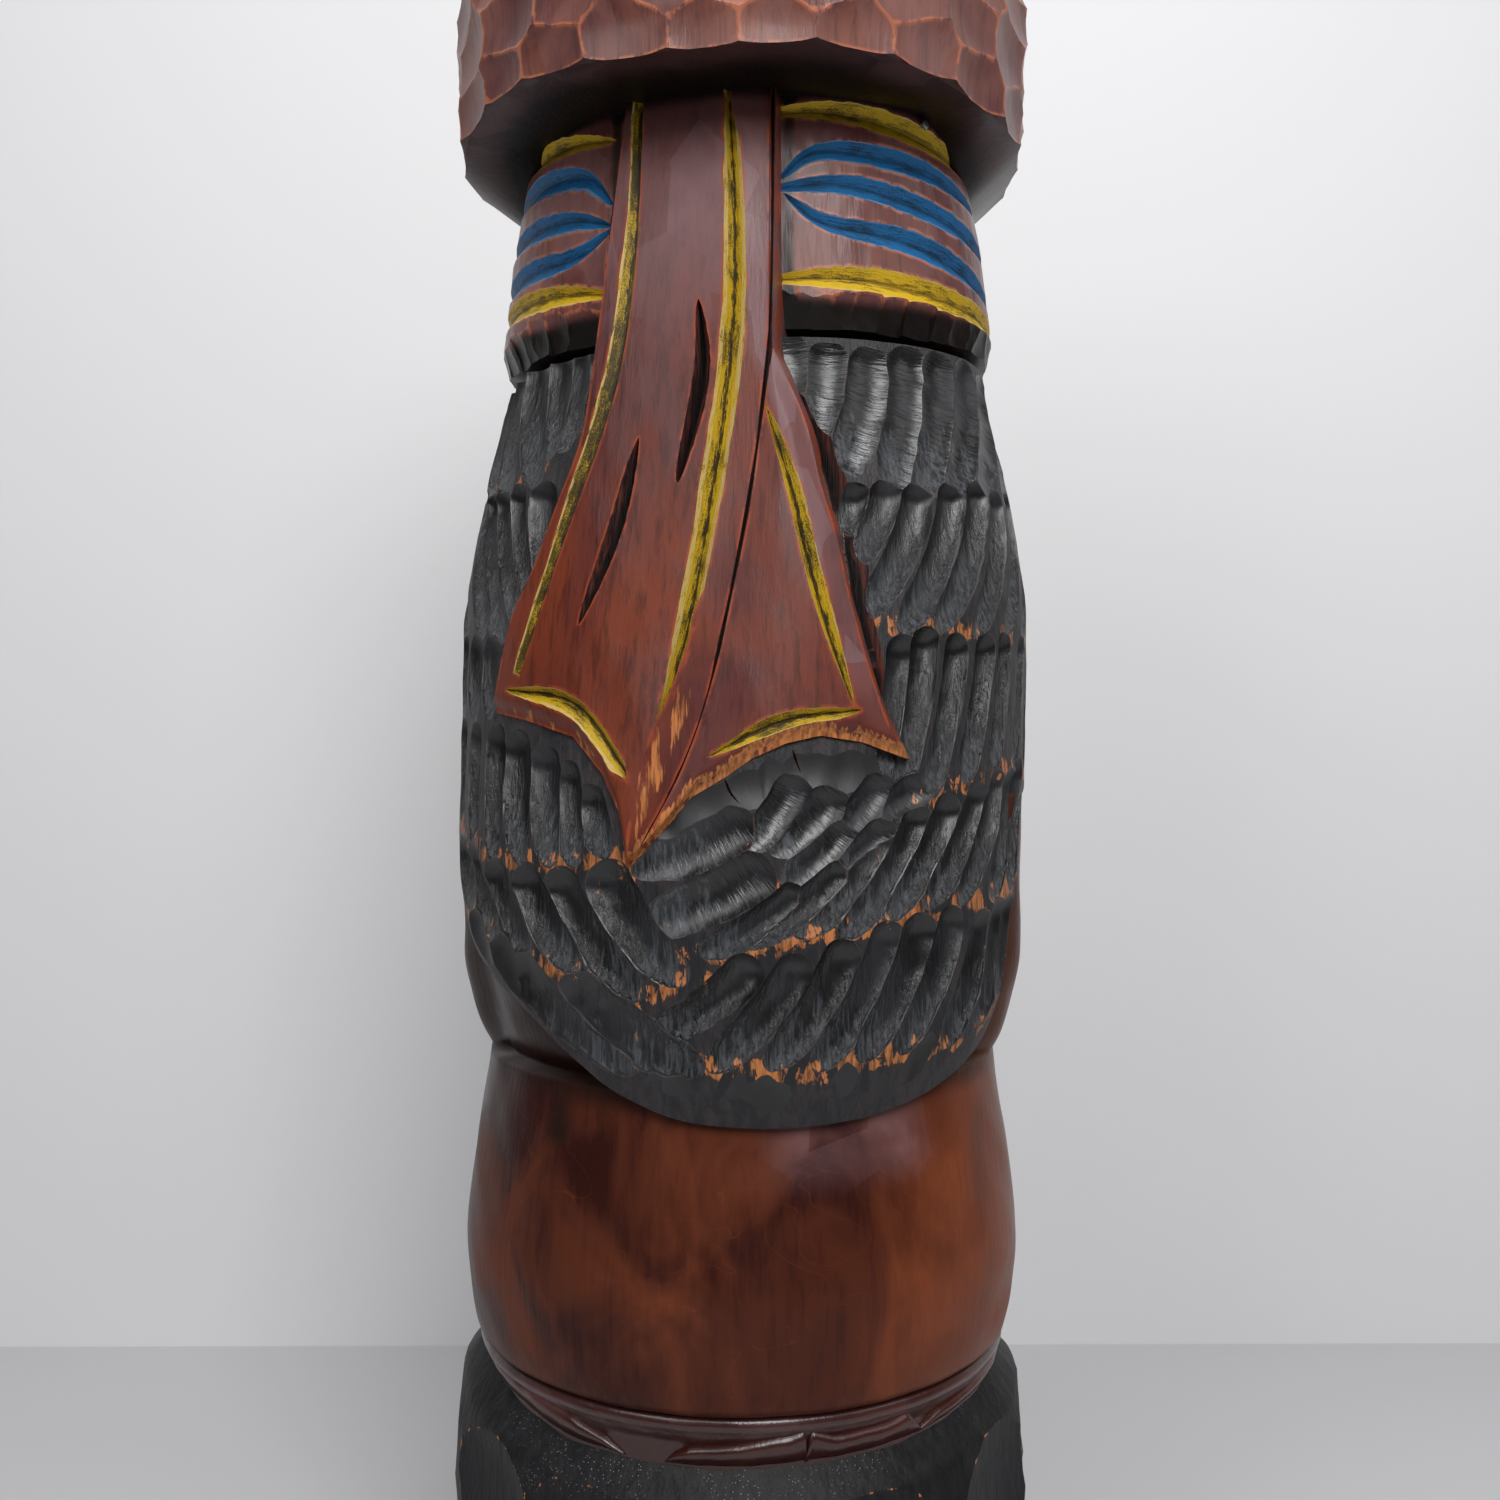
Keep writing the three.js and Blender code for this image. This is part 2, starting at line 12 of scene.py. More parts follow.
import bpy
import numpy as np
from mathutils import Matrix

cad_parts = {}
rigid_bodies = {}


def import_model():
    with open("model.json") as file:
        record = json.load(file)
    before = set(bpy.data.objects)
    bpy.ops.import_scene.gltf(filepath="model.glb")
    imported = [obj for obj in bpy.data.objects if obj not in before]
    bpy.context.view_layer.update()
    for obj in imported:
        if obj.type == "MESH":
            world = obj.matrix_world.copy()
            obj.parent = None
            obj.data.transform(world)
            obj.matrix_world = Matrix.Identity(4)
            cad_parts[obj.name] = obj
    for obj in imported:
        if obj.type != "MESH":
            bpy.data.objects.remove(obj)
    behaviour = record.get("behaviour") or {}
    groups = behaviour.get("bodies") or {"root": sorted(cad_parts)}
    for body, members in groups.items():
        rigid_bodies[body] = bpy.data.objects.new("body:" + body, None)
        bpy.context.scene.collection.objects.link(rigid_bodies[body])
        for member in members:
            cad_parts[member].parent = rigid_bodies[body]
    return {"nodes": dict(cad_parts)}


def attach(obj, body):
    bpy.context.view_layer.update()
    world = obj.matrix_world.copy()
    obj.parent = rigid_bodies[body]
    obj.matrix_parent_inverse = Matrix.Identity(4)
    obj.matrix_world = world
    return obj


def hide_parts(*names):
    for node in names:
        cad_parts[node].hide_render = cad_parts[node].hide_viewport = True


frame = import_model()

bl_info = {
    "name": "Carved totem pole",
    "version": (1, 0, 0),
    "blender": (4, 5, 0),
    "location": "View3D > Sidebar > Totem Pole",
    "description": "Builds a gouged, varnished and painted totem pole and its studio",
    "category": "Add Mesh",
}

MM = 0.001
LOG_RADIUS = 150.0
BASE_RADIUS = 156.0
BASE_HEIGHT = 42.0
BELT_TOP = 230.0
EYE_BAND_LOW = 733.0
CAP_RIM = 841.0
POLE_HEIGHT = 985.0
NOSE_TIP = 478.0
CAP_RADIUS = 151.0
BLANK_SPARE = 4.0  # how far a blank stands outside the scoops that are cut in it
SLAB = 26.0  # how thick an adze cutter is
SCOOP_SPREAD = 2.3  # each adze cutter is this many times as wide as its share of the surface
# A gouge stroke sinks over the first of these shares of its width, rises over the second, and
# loses the third share of its depth on the way.
STROKE_ENTRY = 0.48
STROKE_EXIT = 0.8
STROKE_FADE = 0.35
STROKE_BEND = 0.12  # how far a stroke bends sideways, as a share of its slant
RUN_IN = 2.0  # how far a stroke starts above its place, and then how far it ends below it
RUN_OUT = 4.0
LINE_DEPTH = 4.5  # how deep a painted line is cut

# ---- Tables and small sums ----


def along(table, place):
    """Straight lines between the [place, value] pairs of a table."""
    pairs = np.asarray(table, float)
    return np.interp(place, pairs[:, 0], pairs[:, 1])


def cubic(x, y, slope, at):
    """On each span between the places x, the cubic that has the values y and the slopes at both
    its ends: with t from 0 to 1, each end's value times 3t^2 - 2t^3 or its mirror image, and each
    slope times t(1 - t) and the other end's share."""
    span = np.clip(np.searchsorted(x, at) - 1, 0, len(x) - 2)
    wide = x[span + 1] - x[span]
    t = (at - x[span]) / wide
    return (
        y[span] * (1 + 2 * t) * (1 - t) ** 2
        + y[span + 1] * t * t * (3 - 2 * t)
        + wide * t * (1 - t) * (slope[span] * (1 - t) - slope[span + 1] * t)
    )


def curve(table, place):
    """A smooth curve through the pairs of a table. Each inner slope is the harmonic mean of the
    slopes on either side, or level where the table turns back."""
    pairs = np.asarray(table, float)
    x, y = pairs[:, 0], pairs[:, 1]
    rise = np.diff(y) / np.diff(x)
    before, after = rise[:-1], rise[1:]
    both = before * after
    inner = np.where(both > 0, 2 * both / np.where(both > 0, before + after, 1), 0)
    slope = np.concatenate([rise[:1], inner, rise[-1:]])
    return cubic(x, y, slope, np.clip(place, x[0], x[-1]))


def through(points, count):
    """count points evenly spread along a smooth line through the given ones: each coordinate is a
    cubic over the length run so far, with its slopes taken between the neighbours."""
    run = np.concatenate([[0], np.cumsum(np.linalg.norm(np.diff(points, axis=0), axis=1))])
    at = np.linspace(0, run[-1], count)
    return np.stack([cubic(run, y, np.gradient(y, run), at) for y in points.T], axis=-1)


def mix(a, b, share):
    """The sum of a and the share of the way from a to b."""
    return a + (b - a) * share


def smooth(low, high, at):
    """0 below low, 1 above high, and the cubic 3t^2 - 2t^3 between."""
    t = np.clip((at - low) / (high - low), 0, 1)
    return t * t * (3 - 2 * t)


def uneven(n):
    """A repeatable number from -0.5 to 0.5: the fraction of a large sine, less a half."""
    return np.mod(np.sin(np.asarray(n, float) * 12.9898) * 43758.5453, 1) - 0.5


def ripple(a, b, scale, seed):
    """Soft unevenness from about -1 to 1: three crossed sines of two coordinates over a scale,
    with their phases set by the seed."""
    p = a / scale
    q = b / scale
    return (
        np.sin(p * 1.7 + 2.3 * np.sin(q * 0.9 + seed) + seed * 1.3)
        + np.sin(q * 1.9 + 1.7 * np.sin(p * 1.1 + seed * 2.1) + seed * 0.7)
        + 0.6 * np.sin((p + q) * 3.1 + seed * 3.7)
    ) / 2.6


def around(angle, radius, z):
    """The point at an angle, a distance from the axis and a height."""
    turn = np.radians(angle)
    angle, radius, z = np.broadcast_arrays(angle, radius, z)
    return np.stack([radius * np.sin(turn), -radius * np.cos(turn), z + 0.0 * turn], axis=-1)


def flattened(angle, side, front):
    """A round log behind and an ellipse in front: side is its half width, front its reach."""
    s = np.sin(np.radians(angle))
    c = np.cos(np.radians(angle))
    ellipse = 1 / np.hypot(s / side, c / front)
    return np.where(c > 0, ellipse, side + 0.0 * s)


def unit(v):
    """Each vector divided by its length."""
    return v / np.linalg.norm(v, axis=-1, keepdims=True)


def outwards(path):
    """The level direction away from the pole's axis at each point."""
    return unit(path * [1, 1, 0])


# ---- Meshes ----


def mesh_from(name, points, quads, tris, marks=None, uv=None):
    """A mesh from points in millimetres and its four- and three-cornered faces. marks gives named
    values per point, and uv a pair per point, which is copied to each face corner."""
    mesh = bpy.data.meshes.new(name)
    quads = np.asarray(quads, np.int32).reshape(-1, 4)
    tris = np.asarray(tris, np.int32).reshape(-1, 3)
    corners = np.concatenate([quads.ravel(), tris.ravel()])
    starts = np.concatenate([
        np.arange(len(quads)) * 4,
        len(quads) * 4 + np.arange(len(tris)) * 3,
    ])
    mesh.vertices.add(len(points))
    mesh.vertices.foreach_set("co", (np.asarray(points) * MM).astype(np.float32).ravel())
    mesh.loops.add(len(corners))
    mesh.loops.foreach_set("vertex_index", corners)
    mesh.polygons.add(len(starts))
    mesh.polygons.foreach_set("loop_start", starts.astype(np.int32))
    if uv is not None:
        layer = mesh.uv_layers.new(name="UVMap")
        layer.data.foreach_set("uv", (np.asarray(uv) * MM)[corners].astype(np.float32).ravel())
    for mark, values in (marks or {}).items():
        held = mesh.attributes.new(mark, "FLOAT", "POINT")
        held.data.foreach_set("value", np.asarray(values, np.float32).ravel())
    mesh.update(calc_edges=True)
    mesh.validate()
    return mesh


def ring_quads(rows, columns):
    """The faces of a grid of points whose columns close on themselves, facing outwards when the
    rows climb and the columns turn from -Y towards +X."""
    row, column = np.meshgrid(np.arange(rows - 1), np.arange(columns), indexing="ij")
    right = (column + 1) % columns
    a = row * columns + column
    b = row * columns + right
    c = (row + 1) * columns + right
    d = (row + 1) * columns + column
    return np.stack([a, b, c, d], axis=-1).reshape(-1, 4)


def end_fans(rows, columns):
    """The three-cornered faces that close both ends of ring_quads' grid, each ring joined to a
    point of its own: the first and the second after the grid's points."""
    column = np.arange(columns)
    right = (column + 1) % columns
    last = (rows - 1) * columns
    count = rows * columns
    low = np.stack([right, column, np.full(columns, count)], axis=-1)
    high = np.stack([last + column, last + right, np.full(columns, count + 1)], axis=-1)
    return np.concatenate([low, high])


def turned(name, angles, radius, z, material):
    """A closed block turned about the pole: radius and z are tables with one row per level and one
    column per angle, and the first and last rows are capped with a point on the axis."""
    rows, columns = radius.shape
    skin = around(angles[None, :], radius, z).reshape(-1, 3)
    foot = np.array([[0, 0, z[0].mean()]])
    crown = np.array([[0, 0, z[-1].mean()]])
    points = np.concatenate([skin, foot, crown])
    turn = np.radians(np.broadcast_to(angles[None, :], radius.shape))
    wound = np.stack([turn * LOG_RADIUS, z], axis=-1).reshape(-1, 2)
    uv = np.concatenate([wound, [[0, z[0].mean()], [0, z[-1].mean()]]])
    quads = ring_quads(rows, columns)
    mesh = mesh_from(name, points, quads, end_fans(rows, columns), uv=uv)
    return placed(name, mesh, material)


def with_ends(rows):
    """The values of all rows in one list, and then the means of the first and the last row."""
    flat = rows.reshape(-1, *rows.shape[2:])
    return np.concatenate([flat, rows[:1].mean(axis=1), rows[-1:].mean(axis=1)])


def capped_tube(name, skin, flat, down, material, mark):
    """A closed cutter from rings of points, one row per ring, with a fan over each end. flat holds
    its UV pairs, which each cutter shifts by its number so that no two look alike, and down is
    the mark of that name."""
    rows, columns = skin.shape[:2]
    points = with_ends(skin)
    quads = ring_quads(rows, columns)
    tris = end_fans(rows, columns)
    if enclosed(points - points.mean(axis=0), quads) < 0:
        quads = quads[:, ::-1]
        tris = tris[:, ::-1]
    uv = with_ends(flat) + [mark * 37.0, 0]
    mesh = mesh_from(name, points, quads, tris, {"down": with_ends(down)}, uv)
    numbered(mesh, mark)
    return placed(name, mesh, material)


def slab_faces(rows, columns):
    """The faces of a closed slab made of two grids of points, the lower one first: the lower grid
    faces down, the upper up, and four walls join their edges."""
    row, column = np.meshgrid(np.arange(rows - 1), np.arange(columns - 1), indexing="ij")
    a = row * columns + column
    upper = np.stack([a, a + 1, a + columns + 1, a + columns], axis=-1).reshape(-1, 4)
    lower = upper[:, ::-1]
    count = rows * columns
    first_row = np.arange(columns)
    last_column = np.arange(1, rows) * columns + columns - 1
    last_row = np.arange(columns - 2, -1, -1) + (rows - 1) * columns
    first_column = np.arange(rows - 2, -1, -1) * columns
    rim = np.concatenate([first_row, last_column, last_row, first_column])
    a, b = rim[:-1], rim[1:]
    walls = np.stack([a, b, b + count, a + count], axis=-1)
    return np.concatenate([lower, upper + count, walls])


def slab(name, lower, upper, material, uv=None, mark=0):
    """A closed slab between two grids of points of one size. Its faces are turned to look out."""
    rows, columns = lower.shape[:2]
    points = np.concatenate([lower.reshape(-1, 3), upper.reshape(-1, 3)])
    both = None if uv is None else np.concatenate([uv.reshape(-1, 2)] * 2)
    faces = slab_faces(rows, columns)
    if enclosed(points, faces) < 0:
        faces = faces[:, ::-1]
    mesh = mesh_from(name, points, faces, [], uv=both)
    numbered(mesh, mark)
    return placed(name, mesh, material)


def enclosed(points, quads):
    """Six times the volume inside a closed surface of quads: the sum over its triangles of each
    corner's triple product."""
    a, b, c, d = (points[quads[:, i]] for i in range(4))
    first = np.einsum("ij,ij->", a, np.cross(b, c))
    return first + np.einsum("ij,ij->", a, np.cross(c, d))


def numbered(mesh, mark):
    """Gives every face of a cutter its own number, which its cut keeps."""
    held = mesh.attributes.new("cut", "INT", "FACE")
    held.data.foreach_set("value", np.full(len(mesh.polygons), mark, np.int32))


def placed(name, mesh, material):
    """Puts a mesh in the scene as an object, smooth all over and in one material."""
    mesh.materials.append(material)
    mesh.polygons.foreach_set("use_smooth", np.ones(len(mesh.polygons), bool))
    piece = bpy.data.objects.new(name, mesh)
    bpy.context.scene.collection.objects.link(piece)
    return piece


def carve(piece, cutters, crease=40.0):
    """Cuts a group of closed cutters out of a piece and keeps each cut's material, number and UV.
    Edges between two cuts, and edges sharper than the crease, stay crisp."""
    group = bpy.data.collections.new(piece.name + " cutters")
    bpy.context.scene.collection.children.link(group)
    for cutter in cutters:
        bpy.context.scene.collection.objects.unlink(cutter)
        group.objects.link(cutter)
    if "cut" not in piece.data.attributes:
        numbered(piece.data, 0)
    cut = piece.modifiers.new("cuts", "BOOLEAN")
    cut.operation = "DIFFERENCE"
    cut.operand_type = "COLLECTION"
    cut.collection = group
    cut.solver = "MANIFOLD"
    cut.material_mode = "TRANSFER"
    graph = bpy.context.evaluated_depsgraph_get()
    carved = bpy.data.meshes.new_from_object(piece.evaluated_get(graph))
    if len(carved.polygons) <= 12:
        raise RuntimeError(f"{piece.name}: the cuts left nothing")
    piece.modifiers.clear()
    piece.data = carved
    for cutter in list(group.objects):
        spent = cutter.data
        bpy.data.objects.remove(cutter)
        bpy.data.meshes.remove(spent)
    bpy.data.collections.remove(group)
    crisp(piece.data, crease)
    return piece


def crisp(mesh, crease):
    """Marks an edge sharp where its two faces belong to different cuts or turn more than the
    crease, in degrees."""
    corners = len(mesh.loops)
    edge_of = np.empty(corners, np.int32)
    mesh.loops.foreach_get("edge_index", edge_of)
    totals = np.empty(len(mesh.polygons), np.int32)
    mesh.polygons.foreach_get("loop_total", totals)
    face_of = np.repeat(np.arange(len(totals)), totals)
    normals = np.empty(len(totals) * 3, np.float32)
    mesh.polygons.foreach_get("normal", normals)
    normals = normals.reshape(-1, 3)
    marks = np.empty(len(totals), np.int32)
    mesh.attributes["cut"].data.foreach_get("value", marks)
    order = np.argsort(edge_of, kind="stable")
    edges = edge_of[order]
    faces = face_of[order]
    paired = edges[:-1] == edges[1:]
    edge = edges[:-1][paired]
    one = faces[:-1][paired]
    other = faces[1:][paired]
    turn = np.einsum("ij,ij->i", normals[one], normals[other])
    sharp = (marks[one] != marks[other]) | (turn < math.cos(math.radians(crease)))
    held = np.zeros(len(mesh.edges), bool)
    held[edge[sharp]] = True
    name = "sharp_edge"
    layer = mesh.attributes.get(name) or mesh.attributes.new(name, "BOOLEAN", "EDGE")
    layer.data.foreach_set("value", held)
    mesh.polygons.foreach_set("use_smooth", np.ones(len(totals), bool))


def finished(piece):
    """Joins a piece to the pole's body in place of the plain solid."""
    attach(piece, "root")
    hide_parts("carved_log")


# ---- Cutters ----

# Cuts that touch need different numbers, so that the edge between them is crisp. These are the
# first numbers of the adze scoops, of the cap's crown, of the flats on the eye band's ledge and of
# the narrow cuts in the beard.
SCOOP_MARKS = 100
CROWN_MARK = 999
LEDGE_MARKS = 300
CRACK_MARKS = 5000


def lens(point, out, width, height, depth, material, mark):
    """The scoop of an adze: a slab over a point, facing along out, whose lower face swells into
    the wood by depth in the middle and falls off with the square of the distance."""
    steps = 15
    u, v = np.meshgrid(np.linspace(-1, 1, steps), np.linspace(-1, 1, steps))
    upwards = np.array([0.0, 0.0, 1.0])
    across = np.cross(upwards, out)
    if np.linalg.norm(across) < 0.5:
        across = np.array([1.0, 0.0, 0.0])
    across = unit(across)
    climb = np.cross(out, across)
    spread_u = u * width / 2
    spread_v = v * height / 2
    fall = depth * ((u * SCOOP_SPREAD) ** 2 + (v * SCOOP_SPREAD) ** 2 - 1)
    chatter = 0.35 * ripple(spread_u, spread_v, 5.0, mark * 0.37)
    lift = np.minimum(fall, SLAB - 4) + chatter
    middle = point + spread_u[..., None] * across + spread_v[..., None] * climb
    lower = middle + lift[..., None] * out
    upper = middle + SLAB * out
    uv = np.stack([spread_u, spread_v], axis=-1)
    return slab("adze cut", lower, upper, material, uv, mark)


def leaning(angle, lean):
    """The unit vector away from the axis at an angle, turned upwards by lean radians: its level
    part is the cosine of the lean and its height the sine."""
    level = around(angle, math.cos(lean), 0.0)
    return level + [0.0, 0.0, math.sin(lean)]


def adze_ring(z, radius, tilt, count, height, seed, depth, material):
    """A ring of adze scoops at one height, on a surface that leans back by tilt. Each is a little
    off its even place, as the uneven numbers of the seed say."""
    cutters = []
    for i in range(count):
        odd = seed * 31 + i
        angle = (i + 0.5 * (seed % 2) + 0.35 * uneven(odd)) * 360 / count
        width = 2 * math.pi * radius / count * SCOOP_SPREAD
        out = leaning(angle, math.radians(tilt + 3 * uneven(odd + 3)))
        reach = radius + uneven(odd + 5)
        point = around(angle, reach, z + 0.2 * height * uneven(odd + 11))
        tall = SCOOP_SPREAD * height
        cutters.append(lens(point, out, width, tall, depth, material, odd + SCOOP_MARKS))
    return cutters


def gouge_stroke(top, bottom, surface, bow, depth, bend, material, mark):
    """One gouge stroke: a round section carried down a path on a surface. The path runs between
    two (angle, z) places and bends by a sine. The section's radius is the bow, and it is finely
    divided only where it meets the wood. It sinks within half its width at the upper end and
    rises slowly towards the lower one, both as parabolas, so that the stroke's outline ends as
    half ellipses."""
    length = math.hypot(math.radians(bottom[0] - top[0]) * LOG_RADIUS, bottom[1] - top[1])
    rings = max(16, int(length / 2.2))
    t = 0.5 - 0.5 * np.cos(np.linspace(0, math.pi, rings))
    t = mix(t, np.linspace(0, 1, rings), 0.35)
    angle = mix(top[0], bottom[0], t) + bend * np.sin(math.pi * t)
    z = mix(top[1], bottom[1], t)
    spine = around(angle, surface(angle, z), z)
    ahead = unit(np.gradient(spine, axis=0))
    side = unit(np.cross(ahead, outwards(spine)))
    out = np.cross(side, ahead)
    run = np.linalg.norm(np.diff(spine, axis=0), axis=1).sum()
    wide = math.sqrt(8 * bow * depth)
    upper = np.clip(1 - t * run / (STROKE_ENTRY * wide), 0, 1)
    lower = np.clip(1 - (1 - t) * run / (STROKE_EXIT * wide), 0, 1)
    deep = depth * (1 - STROKE_FADE * smooth(0.3, 1.0, t)) * (1 - upper**2) * (1 - lower**2)
    centre = spine + (bow + 0.1 - deep)[:, None] * out
    turn = np.radians(np.concatenate([np.linspace(205, 335, 18), np.linspace(355, 545, 6)]))
    flank = 1 + 0.02 * ripple(turn[None, :] * 9, t[:, None] * run * 0.5, 3.2, mark * 0.61)
    reach = bow * flank
    across = reach * np.cos(turn)
    skin = (
        centre[:, None, :]
        + across[..., None] * side[:, None, :]
        + (reach * np.sin(turn))[..., None] * out[:, None, :]
    )
    flat = np.stack([across, np.broadcast_to((t * run)[:, None], across.shape)], axis=-1)
    down = np.broadcast_to(t[:, None], across.shape)
    return capped_tube("gouge cut", skin, flat, down, material, mark)


def line_cut(points, material, mark, width, depth=LINE_DEPTH, blunt=0.0):
    """A tapered V-cut along a path on a surface. Its section is a diamond whose lower corner is in
    the wood, and it narrows to nothing at both ends with a power of the sine along the path, or
    to the blunt share of its width. Its down is 0 at the surface and 1 at that corner."""
    fine = 44
    path = through(np.asarray(points, float), fine)
    share = np.linspace(0, 1, fine)
    ahead = unit(np.gradient(path, axis=0))
    out = outwards(path)
    side = unit(np.cross(ahead, out))
    swell = np.maximum(blunt, np.sin(math.pi * share) ** 0.6)
    swell = np.maximum(swell, 0.03)
    ragged = 1 + 0.07 * ripple(share * 150, share * 70, 3.4, mark * 1.7)
    half = 0.5 * width * swell * ragged
    deep = depth * (0.25 + 0.75 * swell)
    # One section as pairs of [share of the half width, share of the depth].
    section = np.array([
        [1.6, -0.6], [1.0, 0.0], [0.5, 0.53], [0.0, 1.0], [-0.5, 0.53], [-1.0, 0.0], [-1.6, -0.6],
        [0.0, -1.2],
    ])
    skin = (
        path[:, None, :]
        + (half[:, None] * section[None, :, 0])[..., None] * side[:, None, :]
        - (deep[:, None] * section[None, :, 1])[..., None] * out[:, None, :]
    )
    run = np.linalg.norm(np.diff(path, axis=0), axis=1).sum()
    wide = section.shape[0]
    u = np.broadcast_to(section[None, :, 0] * width / 2, (fine, wide))
    flat = np.stack([u, np.broadcast_to(share[:, None] * run, (fine, wide))], axis=-1)
    down = np.broadcast_to(np.maximum(section[None, :, 1], 0), (fine, wide))
    return capped_tube("line cut", skin, flat, down, material, mark)


# ---- Materials ----

# A Mix node has sockets of the same names for numbers, vectors and colours. These are the places
# of its two colours and of their mixture.
MIX_A = 6
MIX_B = 7
MIX_RESULT = 2


class Finish:
    """A wood finish under construction: one node tree with a Principled shader, and short helpers
    that each add a node and give back its output."""

    def __init__(self, name, roughness=0.4, coat=0.0, coat_roughness=0.2, shine=0.5, metallic=0.0):
        """A new material. shine is how strongly it mirrors the light, and coat the share of a
        clear coat over it."""
        self.material = bpy.data.materials.new(name)
        self.material.use_nodes = True
        self.nodes = self.material.node_tree.nodes
        self.links = self.material.node_tree.links
        self.shader = self.nodes["Principled BSDF"]
        self.shader.inputs["Roughness"].default_value = roughness
        self.shader.inputs["Metallic"].default_value = metallic
        self.shader.inputs["Specular IOR Level"].default_value = shine
        self.shader.inputs["Coat Weight"].default_value = coat
        self.shader.inputs["Coat Roughness"].default_value = coat_roughness
        self.place = self.nodes.new("ShaderNodeTexCoord")

    def feed(self, socket, value):
        """Links a node's output to a socket, or sets the socket to a colour or a number."""
        if isinstance(value, bpy.types.NodeSocket):
            self.links.new(value, socket)
        elif socket.type == "RGBA":
            socket.default_value = (*value, 1.0)
        else:
            socket.default_value = value

    def stretched(self, scale, coordinates="Object"):
        """The place on the piece, scaled along each axis."""
        node = self.nodes.new("ShaderNodeMapping")
        self.feed(node.inputs["Vector"], self.place.outputs[coordinates])
        node.inputs["Scale"].default_value = scale
        return node.outputs["Vector"]

    def noise(self, vector, scale, detail, roughness, distortion=0.0):
        """Soft noise from 0 to 1, most of it near a half."""
        node = self.nodes.new("ShaderNodeTexNoise")
        self.feed(node.inputs["Vector"], vector)
        node.inputs["Scale"].default_value = scale
        node.inputs["Detail"].default_value = detail
        node.inputs["Roughness"].default_value = roughness
        node.inputs["Distortion"].default_value = distortion
        return node.outputs["Fac"]

    def cells(self, vector, scale, output="Distance"):
        """Uneven cells: the distance to each cell's middle, or one random colour for each."""
        node = self.nodes.new("ShaderNodeTexVoronoi")
        self.feed(node.inputs["Vector"], vector)
        node.inputs["Scale"].default_value = scale
        return node.outputs[output]

    def steps(self, value, low, high, out_low=0.0, out_high=1.0):
        """A smooth step of a value from one range to another."""
        node = self.nodes.new("ShaderNodeMapRange")
        node.interpolation_type = "SMOOTHSTEP"
        self.feed(node.inputs["Value"], value)
        node.inputs["From Min"].default_value = low
        node.inputs["From Max"].default_value = high
        node.inputs["To Min"].default_value = out_low
        node.inputs["To Max"].default_value = out_high
        return node.outputs["Result"]

    def sums(self, operation, a, b=0.0):
        """One of the Math node's operations on two values."""
        node = self.nodes.new("ShaderNodeMath")
        node.operation = operation
        self.feed(node.inputs[0], a)
        self.feed(node.inputs[1], b)
        return node.outputs["Value"]

    def blend(self, share, a, b):
        """The colour that is the share of the way from a to b."""
        node = self.nodes.new("ShaderNodeMix")
        node.data_type = "RGBA"
        self.feed(node.inputs["Factor"], share)
        self.feed(node.inputs[MIX_A], a)
        self.feed(node.inputs[MIX_B], b)
        return node.outputs[MIX_RESULT]

    def mark(self, name):
        """A mark that the mesh's points carry, 0 where there is none."""
        node = self.nodes.new("ShaderNodeAttribute")
        node.attribute_name = name
        return node.outputs["Fac"]

    def bump(self, height, strength, distance):
        """The normal of a surface that a height from 0 to 1 raises by up to a distance."""
        node = self.nodes.new("ShaderNodeBump")
        node.inputs["Strength"].default_value = strength
        node.inputs["Distance"].default_value = distance
        self.feed(node.inputs["Height"], height)
        return node.outputs["Normal"]

    def finish(self, colour, roughness=None, normal=None):
        """Gives the shader its colour, roughness and normal, and gives back the material."""
        self.feed(self.shader.inputs["Base Color"], colour)
        if roughness is not None:
            self.feed(self.shader.inputs["Roughness"], roughness)
        if normal is not None:
            self.feed(self.shader.inputs["Normal"], normal)
            self.feed(self.shader.inputs["Coat Normal"], normal)
        return self.material


def times_colour(factor, colour):
    """A colour with each of its parts multiplied by a factor."""
    return tuple(factor * part for part in colour)


